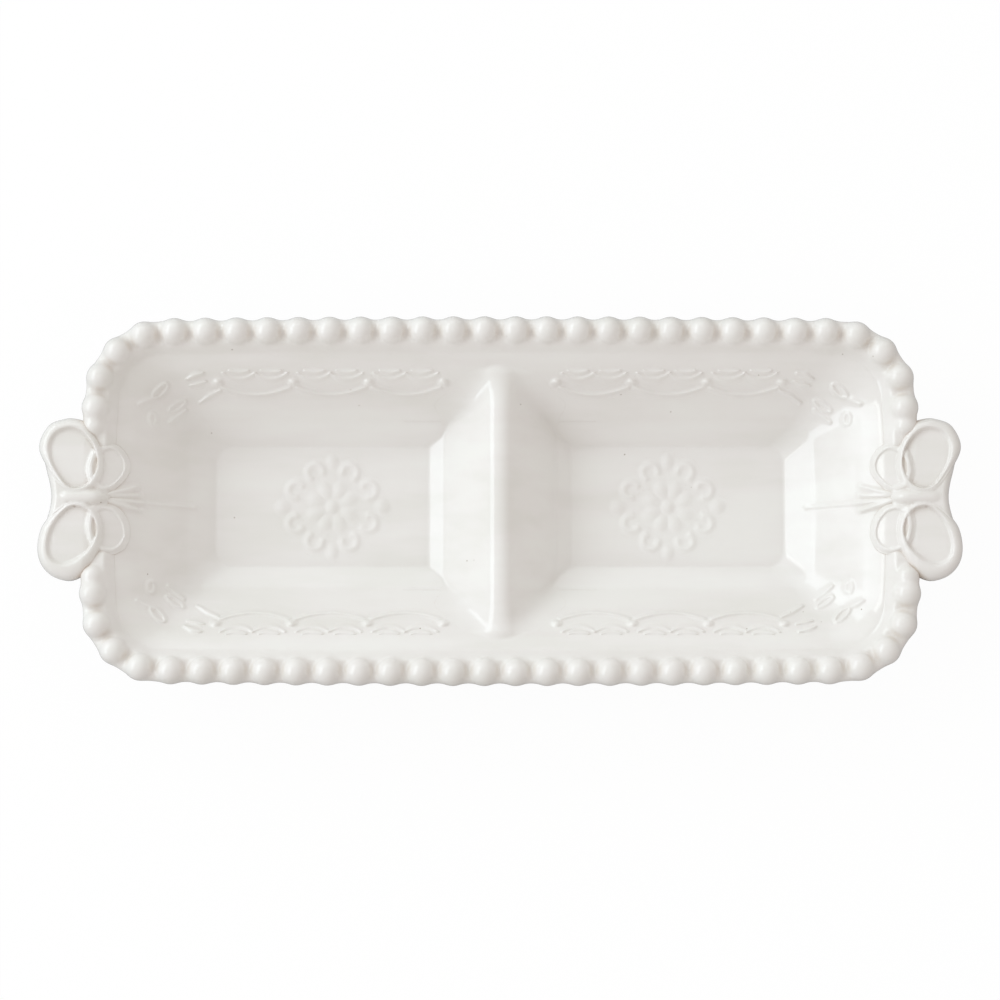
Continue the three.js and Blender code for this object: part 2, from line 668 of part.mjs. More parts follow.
// Rosette: a boss, petals, a ring of open lobes and a pearl drop at each of its four ends
function medallion() {
  const solids = [pearl(0, 0, BOSS_RADIUS, RELIEF_HEIGHT)];
  const lobeAngle = (i) => (i + 0.5) * 2 * Math.PI / MEDALLION_LOBES;
  const onRing = (angle, share) => new THREE.Vector2(
    share * Math.cos(angle) * ROSETTE_LENGTH / 2,
    share * Math.sin(angle) * ROSETTE_WIDTH / 2,
  );
  const rim = [];
  for (let i = 0; i < MEDALLION_LOBES; i += 1) {
    const centre = onRing(lobeAngle(i), 1);
    const start = lobeAngle(i) - Math.PI + LOBE_OPENING / 2;
    for (let j = 0; j <= ARC_STEPS; j += 1) {
      const angle = start + (2 * Math.PI - LOBE_OPENING) * j / ARC_STEPS;
      const arm = new THREE.Vector2(LOBE_RADIUS, 0).rotateAround(new THREE.Vector2(), angle);
      rim.push(centre.clone().add(arm));
    }
  }
  solids.push(ridge(rim, () => RELIEF_WIDTH, RELIEF_HEIGHT, true));
  const petal = (share) => PETAL_WIDTH * (0.3 + 0.7 * Math.sin(Math.PI * share));
  for (let i = 0; i < MEDALLION_LOBES; i += 1) {
    const angle = i * 2 * Math.PI / MEDALLION_LOBES;
    const points = [0.08, 0.3, 0.55, 0.8].map((share) => onRing(angle, share));
    solids.push(ridge(points, petal, RELIEF_HEIGHT));
  }
  const reaches = [[PEARL_REACH_X, 0], [0, PEARL_REACH_Y], [-PEARL_REACH_X, 0], [0, -PEARL_REACH_Y]];
  reaches.forEach(([x, y]) => {
    const stem = [0.6, 0.8, 1].map((share) => new THREE.Vector2(x * share, y * share));
    solids.push(ridge(stem, () => RELIEF_WIDTH, RELIEF_HEIGHT));
    solids.push(pearl(x, y, PEARL_RADIUS, RELIEF_HEIGHT));
  });
  return join(solids);
}

// One long wall's two swags, built on the back wall; the front wall is the same turned half round
function wallSwags(names, turn) {
  const group = new THREE.Group();
  [-1, 1].forEach((outwards, i) => {
    const mesh = node(names[i], swag(outwards));
    mesh.rotation.x = wallAngle;
    const y = edgeHalfWidth - GAP * Math.sin(wallAngle);
    mesh.position.set(0, y, RIM_HEIGHT + GAP * Math.cos(wallAngle));
    group.add(mesh);
  });
  group.rotation.z = turn;
  return group;
}

function dish() {
  const group = new THREE.Group();
  const left = butterfly(-1, "left");
  const right = butterfly(1, "right");
  group.add(node("dish_body", dishBody()));
  group.add(node("divider", divider()));
  group.add(node("foot_ring", footRing()));
  group.add(node("back_beads", sideBeads(quarterLine)));
  group.add(node("front_beads", sideBeads(3 * quarterLine)));
  group.add(node("left_back_beads", cornerBeads(quarterLine, 1, left.room)));
  group.add(node("right_back_beads", cornerBeads(quarterLine, -1, right.room)));
  group.add(node("left_front_beads", cornerBeads(3 * quarterLine, -1, left.room)));
  group.add(node("right_front_beads", cornerBeads(3 * quarterLine, 1, right.room)));
  group.add(left.group, right.group);
  ["left", "right"].forEach((name, i) => {
    const mesh = node(`${name}_medallion`, medallion());
    mesh.position.set((2 * i - 1) * MEDALLION_X, 0, FLOOR_HEIGHT + GAP);
    group.add(mesh);
  });
  group.add(wallSwags(["left_back_swag", "right_back_swag"], 0));
  group.add(wallSwags(["right_front_swag", "left_front_swag"], Math.PI));
  return group;
}

export default dish();
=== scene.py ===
import math

import bpy
import numpy as np
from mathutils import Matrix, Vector


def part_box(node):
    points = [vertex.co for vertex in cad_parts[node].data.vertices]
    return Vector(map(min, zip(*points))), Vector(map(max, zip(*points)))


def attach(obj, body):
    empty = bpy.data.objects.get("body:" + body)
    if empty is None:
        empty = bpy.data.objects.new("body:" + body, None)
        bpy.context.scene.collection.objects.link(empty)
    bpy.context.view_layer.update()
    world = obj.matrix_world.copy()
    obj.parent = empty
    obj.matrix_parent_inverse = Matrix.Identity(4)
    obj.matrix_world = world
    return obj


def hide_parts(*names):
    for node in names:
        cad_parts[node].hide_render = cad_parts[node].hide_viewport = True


# Looks of the two-section serving dish: one glazed skin, cut into the pieces of the frame.
# Sizes are in millimetres and become metres when a mesh is made.
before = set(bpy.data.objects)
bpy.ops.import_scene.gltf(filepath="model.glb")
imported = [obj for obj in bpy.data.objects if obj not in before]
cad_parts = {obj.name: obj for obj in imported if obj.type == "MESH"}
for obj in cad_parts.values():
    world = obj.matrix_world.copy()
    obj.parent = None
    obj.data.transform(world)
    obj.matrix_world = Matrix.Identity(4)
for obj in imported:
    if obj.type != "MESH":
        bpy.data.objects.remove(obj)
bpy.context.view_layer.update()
MM = 0.001


def corners(node):
    """Lowest and highest corner of a CAD node in millimetres."""
    low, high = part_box(node)
    return np.array(low) / MM, np.array(high) / MM


# Gap between the frame's solids, how far a fused piece hides under another, and a height below all others
GAP = 0.3
HIDE = 0.003
NOWHERE = -99.0

# Steps of outlines, rounds and searches, the most of a span that a round takes, and signs of the corners
CORNER_STEPS = 28
LONG_STEPS = 100
END_STEPS = 48
KEY_STEPS = 6
EDGE_STEPS = 6
ROUND_SHARE = 0.45
HALVINGS = 30
CORNER_SIGNS = [(1, 1), (-1, 1), (-1, -1), (1, -1)]

# Bead line and flange of the rim
FLANGE = 4.1
FLANGE_EDGE = 2.9
FLANGE_DRAFT = 0.6
FLANGE_DEPTH = 8.0
FLANGE_ROUND = 1.2
END_BOW = 3.0
SIDE_BOW = 1.0
LINE_CORNER = 24.0
BODY_LOW, BODY_HIGH = corners("dish_body")
RIM = BODY_HIGH[2]
LINE_X = BODY_HIGH[0] - FLANGE
LINE_Y = BODY_HIGH[1] - FLANGE

# Inner skin: ledge, then the wall from its edge to the floor, in shares of the way up and heights
FLOOR = corners("left_medallion")[0][2] - GAP
END_LEDGE = 7.0
SIDE_LEDGE = 8.3
LEDGE_RISE = 0.3
LEDGE_DROP = 0.5
LEDGE_TILT = 0.35
EDGE_X = LINE_X - END_LEDGE
EDGE_Y = LINE_Y - SIDE_BOW - SIDE_LEDGE
END_RUN = 30.2
SIDE_RUN = 26.4
EDGE_CORNER = 19.0
FLOOR_CORNER = 7.0
WALL_ANGLE = math.atan((RIM - FLOOR) / SIDE_RUN)
CHAMFER_FOOT = (-0.25, FLOOR)
CHAMFER_TOP = (0.096, FLOOR + 5.8)
FLARE_FOOT = (0.775, RIM - 4.35)
FLARE_TOP = (1.0, RIM - 0.25)
CHAMFER_BLEND = 0.6
EDGE_BLEND = 1.4
SHARE_RANGE = (-0.6, 1.5)

# Rows of the inner skin: first share, last share and count, close together where the skin bends
SKIN_ROWS = [(1.15, 0.88, 32), (0.87, 0.68, 20), (0.66, 0.2, 14), (0.18, -0.34, 54)]

# Outside of the dish, with a round at each key of its section
WALL = 5.0
BASE_ROUND = 2.5
BASE_CAP = 14.0
CORNER_GROWTH = 7.0
OUTSIDE_ROUNDS = [2, 4, 3, 1, FLANGE_ROUND]

# Foot ring
FOOT_HIGH = corners("foot_ring")[1]
FOOT_WIDTH = 5.0
FOOT_CORNER = 9.0
FOOT_ROUND = 1.4
FOOT_LAP = 0.8

# Divider, and how its blend with the walls grows above the floor and fades below the ridge
RIDGE = corners("divider")[1][2]
RIDGE_RADIUS = 6.5
DIVIDER_SLOPE = math.radians(45)
DIVIDER_REACH = 38.0
DIVIDER_CHAMFER = 2.9
DIVIDER_LAP = 3.0
DIVIDER_STEP = 0.5
DIVIDER_ROWS = 235
DIVIDER_UNDER = WALL / 2
VALLEY_BLEND = 13.0
VALLEY_START = 2.0
VALLEY_RUN = 12.0
VALLEY_END = 1.0
VALLEY_FADE = 4.0

# Beads and the cord between them
BEAD = 5.2
LAST_BEAD = 4.2
LAST_STEP = 6.8
CORD = 2.3
CORD_OUT = 1.9
CORD_DROP = 1.2
PITCH = 12.06
HANDLE_SPAN = 60.0
BEAD_Z = corners("back_beads")[1][2] - BEAD
BEAD_BLEND = 3.0
RIM_BLEND = 3.0
TANGENT_STEP = 0.8

# Bank of the ledge up to the beads, across the ledge and past the end of a row
BANK = 2.4
BANK_START = 8.8
BANK_RUN = 4.8
BANK_END = 14.0
BANK_FADE = 8.0

# Rays that find the skin of a bead row, from a pole under the rim, and probes of the wall beside it
POLE_DEPTH = 4.4
RAYS = np.radians(np.linspace(23, 146, 64))
RAY_RANGE = (0.5, 16.0)
RAY_HALVINGS = 26
STATION = 0.5
PROBE_STEP = 1.5
PROBES = np.arange(-12, 0.1, PROBE_STEP)
LAST_PROBE = len(PROBES) - 1.001

# Relief on the floor and walls: heights, fall of a line and of a dome, mesh and lift of a sloped wall
RELIEF = 0.75
PEARL = 1.1
ROSETTE = 0.55
FEELER = 0.9
SPRIG = 0.55
LINE_FALL = 3.0
DOME_FALL = 1.6
DOME_EDGE = 1.4
HEAP_POWER = 3
RELIEF_STEP = 0.3
RELIEF_UNDER = WALL / 3
COARSE_STEP = 6
WALL_LIFT = 1.4

# Rosette about its own middle
MEDALLION_X = (corners("right_medallion")[0] + corners("right_medallion")[1])[0] / 2
MEDALLION_REACH = (28.0, 25.5)
BOSS = (3.2, 3.2)
KNOB_HEIGHT = 1.2 * ROSETTE
PETALS = 8
PETAL_RING = 7.2
PETAL = (4.4, 3.3)
LOOPS = [(14.4, 6.6), (6.9, 13.7)]
LOOP_RADIUS = 3.0
LOOP_WIDTH = 2.3
LOOP_HEIGHT = 0.9 * ROSETTE
LOOP_STEPS = 16
LOOP_OPENING = math.radians(130)
KNOB_REACH = 19.8
KNOB = (3.8, 3.6)
TIP_REACH = 18.2
TIP = (2.9, 3.6)

# Lace swags in X along the wall and drop down it, with widths at the ends and added at the middle
SWAG_START = 22.0
SWAG_PITCH = 29.4
SWAG_SCALLOPS = 3
PEARL_DROP = 14.2
PEARL_SIZE = (2.7, 2.7)
ARC_DROP = 16.6
ARC_SAG = 3.7
ARC_GAP = 1.5
ARC_WIDTH = 1.9
ARC_HEIGHT = 0.9 * RELIEF
SAG_STEPS = 12
LACE_DROP = 9.4
LACE_SAG = 3.0
LACE_GAP = 2.2
LACE_WIDTH = (1.0, 1.4)
LACE_HEIGHT = 0.75 * RELIEF
LEAF_GAP = 2.6
LEAF_DROP = LACE_DROP - 1.2
LEAF_SAG = 0.9
LEAF_WIDTH = (1.0, 1.2)
LEAF_HEIGHT = 0.7 * RELIEF
SWAG_END = [
    ([(115.8, 9.4), (118.8, 10.5), (122, 12.4)], [1.2, 2.6, 1.2], 0.9 * RELIEF),
    ([(115, 13.6), (118, 14.8), (121, 15.6)], [1, 2, 1], 0.7 * RELIEF),
    ([(109.6, 18), (113.4, 20.4), (118, 24.2)], [1.4, 2.1, 1.2], 0.8 * RELIEF),
]
SWAG_X = (SWAG_START - 4, 128.0)
SWAG_Y = (37.0, EDGE_Y - 2.2)
SWAG_ROWS = 88

# Sprigs in the quarter where X and Y are positive: strokes with half widths and a height
SPRIG_STROKES = [
    ([(129.6, 32.2), (126.4, 35), (123.6, 37.2)], [1.3, 1.9, 1.3], SPRIG),
    ([(134.2, 41.2), (137.2, 39.9), (140.2, 38.3)], [1.4, 2.3, 1.5], SPRIG),
]

# Leaves of a sprig, drawn as outlines: centre, half sizes, turn in degrees, half width and height
SPRIG_LEAVES = [
    ((126.6, 38.4), (3.7, 1.1), 146, 1.3, 0.9 * SPRIG),
    ((132.6, 43.6), (3.7, 1.3), 136, 1.3, SPRIG),
    ((135.6, 32.9), (1.1, 2.2), 0, 1.5, 0.8 * SPRIG),
]
LEAF_STEPS = 20
SPRIG_X = (121, 145)
SPRIG_Y = (28.5, 50.5)
SPRIG_ROWS = 85

# Feelers on the end walls: paths with X along the dish, half widths and heights
ANTENNAE = {
    "back": [
        ([(152, 2.4), (145.5, 4.2), (140.8, 5.9)], [2, 2.2, 1.6], FEELER),
        ([(152, 1.8), (145, 2.3), (140.2, 2.6)], [1.8, 2, 1.5], 0.8 * FEELER),
    ],
    "front": [
        ([(152, 0.6), (145, 0), (138.4, -0.3)], [1.8, 2, 1.5], 0.8 * FEELER),
        ([(152, 0), (145.5, -1.7), (140.4, -3.3)], [2, 2.2, 1.6], FEELER),
        ([(139, -0.4), (131, -0.5), (120.6, -0.6)], [1.5, 1.4, 1.7], 0.4),
    ],
}
FEELER_MARGIN = 4.6
FEELER_ROWS = 48

# Tab of a handle: heights, rounds and the swell towards its outer edge
TAB_TOP = corners("left_handle_tab")[1][2]
TAB_BOTTOM = corners("left_handle_tab")[0][2]
TAB_EDGE = 34.2
TAB_ROUND = 2.0
TAB_SIDE = 1.0
TAB_FLANK = 3.2
TAB_SWELL = 2.6
SWELL_START = 3.0
SWELL_RUN = 7.0
HANDLE_BLEND = 3.0

# Outer wings: rim, sunk middle and how the rim falls towards the dish
WING_CREST = corners("left_back_wing")[1][2]
WING_EDGE = 35.2
WING_CREST_SHARE = 0.68
WING_RECESS = 1.2
WING_TILT = 0.06
WING_TILT_START = 14.0
WING_FALL = 0.2
WING_FALL_START = 3.0
WING_SINK = 4.0
SINK_START = 0.5
SINK_RUN = 1.5
THINNEST_RIM = 0.1

# Inner wings: loops draped over the ledge
INNER_ROOT = 37.4
INNER_SLOPE = 0.5
INNER_RISE = 1.3
INNER_LAP = 0.6
INNER_FLANK = 1.8
INNER_RECESS = 0.6
RECESS_LAP = 0.3
RECESS_FLANK = 0.8
LENS_BLEND = 2.0

# Body of the butterfly
BODY_CREST = corners("left_butterfly_body")[1][2]
BODY_Y = 1.2
BODY_HALF_WIDTH = 3.8
BODY_ENDS = (13.6, -5.4)
BODY_TAPER = 0.8
BODY_SIDE = 2.4
BODY_DROP = 3.4
BODY_BLEND = 2.4

# Meshes of the handle: margin of a pad, its depth, start of its rows, rows and points of the curves
SKIRT = 1.4
PAD_DEPTH = 2.2
PAD_START = 0.03
TAB_ROWS = 56
WING_ROWS = 44
INNER_ROWS = 40
BODY_ROWS = 40
SPAN_STEPS = 24
TAB_POINTS = 160
WING_POINTS = 120
INNER_POINTS = 90
OVAL_POINTS = 100

# Outlines on a handle: distances out from the end of the bead line, then Y
TAB = [
    (3, 29.5), (9.5, 30.4), (16, 27.8), (19.3, 20), (18.2, 13), (16.5, 6.2), (15.9, 1.5), (16.4, -3.1),
    (18.2, -10), (19.8, -18.1), (18.6, -23.6), (15, -27.8), (8.4, -29.8), (3, -28.4), (-1.5, -22),
    (-2, -8), (-5.8, -1.5), (-5.8, 4), (-2, 10), (-1.5, 22),
]
WINGS = {
    "back": {
        "rim": [(3.5, 2.4), (9.5, 3.2), (15.2, 9.5), (20.8, 20), (17.4, 28.8), (11, 31.6),
                (6.4, 31.6), (1.8, 29.8), (-1.2, 25.6), (-3.6, 19.5), (-4.4, 13.5), (-3.4, 8), (-0.6, 4)],
        "recess": [(11, 26.5), (14.1, 24.1), (15.5, 19.8), (14.6, 14.4), (11.4, 8.6), (8.4, 5.4),
                   (4.4, 5.1), (0.6, 8), (-1.6, 13.5), (-1, 18.8), (1.2, 22.8), (3.9, 25.4), (7.2, 26.9)],
    },
    "front": {
        "rim": [(3.5, 0), (9, -0.9), (14, -4.2), (19.2, -10), (20.9, -18.1), (19.5, -24.5), (15.5, -29),
                (10.4, -30.9), (6.2, -30.5), (1.8, -27.8), (-1.2, -23.6), (-3.6, -17.5), (-4.4, -11.5),
                (-3.4, -6), (-0.6, -2)],
        "recess": [(8.1, -3.2), (12.2, -7.3), (14.7, -12.8), (15.6, -18), (14.4, -22), (10.5, -23.8),
                   (5.2, -21.6), (1, -18.2), (-1.4, -13.2), (-1, -8.4), (1.6, -4.6), (5.2, -2.9)],
    },
}
INNER_WINGS = {
    "back": {
        "rim": [(-5.7, 22), (-9.3, 20.9), (-11.9, 18), (-13.1, 14.4), (-12.4, 10.3), (-10, 6.9),
                (-7.4, 4.4), (-4.2, 3.2), (-0.4, 5), (2, 11.5), (0.2, 18), (-2.6, 21)],
        "recess": [(-6.1, 19.9), (-9, 19.1), (-11, 16.8), (-11.9, 13.7), (-11.1, 10.3), (-9, 7.6),
                   (-6.5, 5.6), (-3.6, 5.9), (-1.2, 8.8), (-0.4, 12.6), (-2, 17)],
    },
    "front": {
        "rim": [(-0.4, -1.6), (-4.6, -1.4), (-8.7, -2.5), (-11.6, -5.8), (-13.1, -10.2), (-13.1, -14.2),
                (-11.4, -18.2), (-7.2, -20.4), (-2.6, -19.2), (0.6, -15.4), (2, -9.6), (0.9, -4.4)],
        "recess": [(-3.8, -3.5), (-7.7, -4.2), (-10.5, -7.2), (-11.9, -11.1), (-11.7, -14.4), (-9.9, -17.4),
                   (-6.8, -18.6), (-3, -17), (-0.5, -11.6), (-1, -6.6)],
    },
}

# Glaze: stops of its ramps, pinholes, and the angle above which an edge of a mesh is sharp
TINT_STOPS = [
    (0.36, (0.87, 0.855, 0.822, 1)),
    (0.5, (0.9, 0.88, 0.857, 1)),
    (0.64, (0.914, 0.904, 0.876, 1)),
]
# Painted shade: a warm brown ramp over ambient occlusion darkens creases, hollows and parts near the table,
# only in part as glaze pooling
POOL_AND_SHADE_STOPS = [(0.1, (0.68, 0.57, 0.47, 1)), (0.9, (1, 1, 1, 1))]
PINHOLE_COLOR = (0.46, 0.4, 0.34, 1)
SHARP_ANGLE = math.radians(50)

# Sockets that share a name with others on a colour mix and a shader mix, by number
MIX_FACTOR = 0
MIX_A = 6
MIX_B = 7
MIX_RESULT = 2
FIRST_SHADER = 1
SECOND_SHADER = 2

# Studio in metres: table, camera, and lamps with their place, size, watts and colour
TABLE_REACH = 4
CAMERA_TARGET = (0, 0, 0.037)
CAMERA_ELEVATION = math.radians(84.75)
CAMERA_DISTANCE = 1.0
PICTURE_WIDTH = 0.3853
SENSOR = 36
LAMPS = [
    ("key", (-2.15, 0.55, 1.36), (3.6, 1.0), 29.5, (0.82, 0.93, 1)),
    ("window", (-1.77, 0.45, 1.87), (1.3, 0.22), 3.6, (0.9, 0.97, 1)),
    ("fill", (-0.6, 2.2, 1.6), (2.4, 1.6), 8, (0.84, 1, 1)),
]


def smooth_max(a, b, blend):
    """Larger of two values, rounded over where they are within a blend of each other."""
    near = np.maximum(blend - np.abs(a - b), 0) / blend
    return np.maximum(a, b) + near ** 3 * blend / 6


def smooth_min(a, b, blend):
    """Smaller of two values, rounded over in the same way."""
    return -smooth_max(-a, -b, blend)


def ease(value):
    """Smooth step from 0 to 1."""
    t = np.clip(value, 0, 1)
    return t * t * (3 - 2 * t)


def outline(half_x, half_y, radius, end_bow=0.0, side_bow=0.0):
    """Rounded rectangle with bowed sides, anticlockwise from the middle of its +X end."""
    a = half_x - end_bow
    b = half_y - side_bow
    turn = np.linspace(0, math.pi / 2, CORNER_STEPS + 1)
    arcs = []
    for quarter, (sign_x, sign_y) in enumerate(CORNER_SIGNS):
        angle = turn + quarter * math.pi / 2
        x = sign_x * (a - radius) + radius * np.cos(angle)
        y = sign_y * (b - radius) + radius * np.sin(angle)
        arcs.append(np.column_stack([x, y]))
    points = []
    for quarter, arc in enumerate(arcs):
        points.append(arc)
        steps = END_STEPS if quarter % 2 else LONG_STEPS
        share = np.arange(1, steps)[:, None] / steps
        points.append(arc[-1] + share * (arcs[(quarter + 1) % 4][0] - arc[-1]))
    x, y = np.vstack(points).T
    bowed_x = x * (1 + end_bow / a * (1 - (y / b) ** 2))
    bowed_y = y * (1 + side_bow / b * (1 - (x / a) ** 2))
    return np.roll(np.column_stack([bowed_x, bowed_y]), END_STEPS // 2, axis=0)


def at_height(points, z):
    """Plan points with a height added."""
    return np.column_stack([points, np.full(len(points), z)])


def wall_sizes(share):
    """Half sizes, corner and bow of the inner wall, from the floor's corner (0) to the ledge's edge (1)."""
    half_x = EDGE_X - (1 - share) * END_RUN
    half_y = EDGE_Y - (1 - share) * SIDE_RUN
    up = np.clip(share, 0, None)
    radius = FLOOR_CORNER + (EDGE_CORNER - FLOOR_CORNER) * up
    return half_x, half_y, radius, END_BOW * up


def facet(share, start, end):
    """Height of a straight facet of the wall through two places, each a share and a height."""
    return start[1] + (share - start[0]) * (end[1] - start[1]) / (end[0] - start[0])


def wall_height(share):
    """Section of the inner skin: floor, chamfer, wall, flare and sloped ledge."""
    low = smooth_max(facet(share, CHAMFER_FOOT, CHAMFER_TOP), FLOOR, CHAMFER_BLEND)
    wall = smooth_max(facet(share, CHAMFER_TOP, FLARE_FOOT), low, CHAMFER_BLEND)
    flare = np.maximum(facet(share, FLARE_FOOT, FLARE_TOP), CHAMFER_TOP[1])
    wall = smooth_min(wall, flare, CHAMFER_BLEND)
    tilted = RIM - LEDGE_DROP + LEDGE_TILT * (share - 1) * SIDE_RUN
    ledge = smooth_min(tilted, RIM + LEDGE_RISE, LEDGE_RISE)
    return smooth_min(wall, ledge, EDGE_BLEND)


def wall_share(x, y):
    """Share of the wall's way up at a place, found by halving."""
    low, high = (np.full(np.shape(x), share) for share in SHARE_RANGE)
    for _ in range(HALVINGS):
        share = (low + high) / 2
        half_x, half_y, radius, bow = wall_sizes(share)
        flat_x = half_x - bow
        bowed = 1 + bow / flat_x * np.clip(1 - (y / half_y) ** 2, 0, None)
        over_x = np.abs(x) / bowed - (flat_x - radius)
        over_y = np.abs(y) - (half_y - radius)
        reach = np.hypot(np.maximum(over_x, 0), np.maximum(over_y, 0))
        outside = reach + np.minimum(np.maximum(over_x, over_y), 0) > radius
        low = np.where(outside, share, low)
        high = np.where(outside, high, share)
    return (low + high) / 2


def basin(x, y):
    """Height of the dish's inner skin without relief."""
    return wall_height(wall_share(x, y))


def loft(rings, closed=False):
    """Points and faces of a skin over rings with equal counts, capped at both ends or closed on itself."""
    count = len(rings[0])
    points = np.vstack(rings)
    row = np.arange(count)
    after = np.roll(row, -1)
    faces = []
    spans = len(rings) if closed else len(rings) - 1
    for i in range(spans):
        low = i * count
        high = (i + 1) % len(rings) * count
        faces.extend(np.column_stack([low + row, low + after, high + after, high + row]).tolist())
    if not closed:
        faces.append(row[::-1].tolist())
        faces.append((row + (len(rings) - 1) * count).tolist())
    return points, faces


def add_piece(name, skin, material, node=None):
    """Mesh piece of the dish with its finish, riding on the body in place of a CAD node."""
    points, faces = skin
    mesh = bpy.data.meshes.new(name)
    mesh.from_pydata((points * MM).tolist(), [], faces)
    mesh.shade_smooth()
    mesh.set_sharp_from_angle(angle=SHARP_ANGLE)
    mesh.materials.append(material)
    piece = bpy.data.objects.new(name, mesh)
    bpy.context.scene.collection.objects.link(piece)
    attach(piece, "root")
    if node:
        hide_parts(node)


def round_keys(keys, reaches):
    """Key rows of ring sizes with each inner key rounded off over its reach; the last size is the height."""
    keys = [np.array(key, float) for key in keys]
    rows = [keys[0]]
    for before, key, after, reach in zip(keys, keys[1:], keys[2:], reaches):
        ends = []
        for other in (before, after):
            way = other - key
            length = np.hypot(way[1], way[-1])
            ends.append(key + way * min(reach, ROUND_SHARE * length) / length)
        for t in np.linspace(0, 1, KEY_STEPS + 1):
            rows.append((1 - t) ** 2 * ends[0] + 2 * t * (1 - t) * key + t * t * ends[1])
    rows.append(keys[-1])
    return rows


def outside_sizes(z, inset):
    """Outline sizes of the outer wall at a height below the flange, then the height."""
    share = (z - FLOOR) / (RIM - FLOOR)
    half_x, half_y, _, bow = wall_sizes(share)
    thick = WALL / math.sin(WALL_ANGLE)
    corner = FLOOR_CORNER + thick + CORNER_GROWTH * max(share, 0)
    return [half_x + thick - inset, half_y + thick - inset, corner, bow, 0, z]


def rim_sizes(offset, z):
    """Outline sizes of the rim at an offset from the bead line, then the height."""
    return [LINE_X + offset, LINE_Y + offset, LINE_CORNER + offset, END_BOW, SIDE_BOW, z]


def shell_skin():
    """The dish itself: up its outside from the base, over the rim and down the inner skin to the floor."""
    under = BODY_LOW[2]
    keys = [
        outside_sizes(under, BASE_ROUND + BASE_CAP),
        outside_sizes(under, BASE_ROUND),
        outside_sizes(under + BASE_ROUND, 0),
        outside_sizes(RIM - FLANGE_DEPTH, 0),
        rim_sizes(FLANGE - FLANGE_DRAFT, RIM - FLANGE_EDGE),
        rim_sizes(FLANGE, RIM),
        rim_sizes(0, RIM + LEDGE_RISE),
    ]
    rows = round_keys(keys, OUTSIDE_ROUNDS)
    rings = [at_height(outline(*row[:-1]), row[-1]) for row in rows]
    for share in np.concatenate([np.linspace(*run) for run in SKIN_ROWS]):
        half_x, half_y, radius, bow = wall_sizes(share)
        rings.append(at_height(outline(half_x, half_y, radius, bow), wall_height(share)))
    return loft(rings)


def rounded_edge(radius):
    """Places round an edge in inset and height, from its foot out to its side."""
    turns = np.linspace(0, math.pi / 2, EDGE_STEPS)
    return [(radius * (1 - math.sin(turn)), radius * (1 - math.cos(turn))) for turn in turns]


def foot_skin():
    """Foot ring with a rounded standing edge, run up into the base."""
    outer = rounded_edge(FOOT_ROUND)
    inner = [(FOOT_WIDTH - inset, z) for inset, z in reversed(outer)]
    top = FOOT_HIGH[2] + FOOT_LAP
    rings = []
    for inset, z in outer + [(0, top), (FOOT_WIDTH, top)] + inner:
        ring = outline(FOOT_HIGH[0] - inset, FOOT_HIGH[1] - inset, FOOT_CORNER - inset)
        rings.append(at_height(ring, z))
    return loft(rings, closed=True)


def height_patch(xs, ys, top, under):
    """Closed skin over a grid, with a top height and an underside height at each place."""
    coarse = np.append(xs[:0:-COARSE_STEP], xs[0])
    sheets = []
    for row, height in [(xs, top), (coarse, under)]:
        x, y = np.meshgrid(row, ys)
        sheets.append(np.stack([x, y, height(x, y)], axis=2))
    return loft(list(np.concatenate(sheets, axis=1)))


def ridge_height(x):
    """Section of the divider: a round ridge with straight slopes tangent to it."""
    tangent = RIDGE_RADIUS * math.sin(DIVIDER_SLOPE)
    centre = RIDGE - RIDGE_RADIUS
    near = np.minimum(np.abs(x), tangent)
    beyond = np.abs(x) - near
    slope = math.tan(DIVIDER_SLOPE)
    ridge = centre + np.sqrt(RIDGE_RADIUS ** 2 - near ** 2) - beyond * slope
    foot = tangent + (centre + RIDGE_RADIUS * math.cos(DIVIDER_SLOPE) - FLOOR) / slope
    chamfer = FLOOR + (foot + DIVIDER_CHAMFER - np.abs(x)) * slope / 2
    return smooth_max(ridge, chamfer, CHAMFER_BLEND)


def divided(x, y):
    """Inner skin with the divider, crisp at the floor and flared where it runs into the walls."""
    skin = basin(x, y)
    grow = ease((skin - FLOOR - VALLEY_START) / VALLEY_RUN)
    fade = ease((skin - RIDGE + VALLEY_END) / VALLEY_FADE)
    blend = CHAMFER_BLEND + (VALLEY_BLEND - CHAMFER_BLEND) * grow * (1 - fade)
    return smooth_max(skin, ridge_height(x), blend)


def divider_skin():
    xs = np.arange(-DIVIDER_REACH, DIVIDER_REACH + DIVIDER_STEP / 2, DIVIDER_STEP)
    reach = EDGE_Y + DIVIDER_LAP
    ys = np.linspace(-reach, reach, DIVIDER_ROWS)
    return height_patch(
        xs, ys, lambda x, y: divided(x, y) - HIDE, lambda x, y: basin(x, y) - DIVIDER_UNDER
    )


class BeadLine:
    """The closed line of the bead centres, measured from the middle of the right end round by the back."""

    def __init__(self):
        points = outline(LINE_X, LINE_Y, LINE_CORNER, END_BOW, SIDE_BOW)
        self.points = np.vstack([points, points[:1]])
        steps = np.hypot(*np.diff(self.points, axis=0).T)
        self.places = np.concatenate([[0], np.cumsum(steps)])
        self.length = self.places[-1]

    def at(self, distance):
        """Points at distances along the line."""
        wrapped = np.mod(distance, self.length)
        columns = [np.interp(wrapped, self.places, self.points[:, i]) for i in range(2)]
        return np.column_stack(columns)

    def outwards(self, distance):
        """Directions out of the dish at distances along the line."""
        way = self.at(distance + TANGENT_STEP) - self.at(distance - TANGENT_STEP)
        way /= np.linalg.norm(way, axis=1, keepdims=True)
        return np.column_stack([way[:, 1], -way[:, 0]])


line = BeadLine()
QUARTER = line.length / 4
QUARTER_BEADS = round((QUARTER - HANDLE_SPAN / 2) / PITCH)
BEAD_PITCH = (QUARTER - HANDLE_SPAN / 2) / QUARTER_BEADS
SIDE_BEADS = round((LINE_X - LINE_CORNER) / BEAD_PITCH)


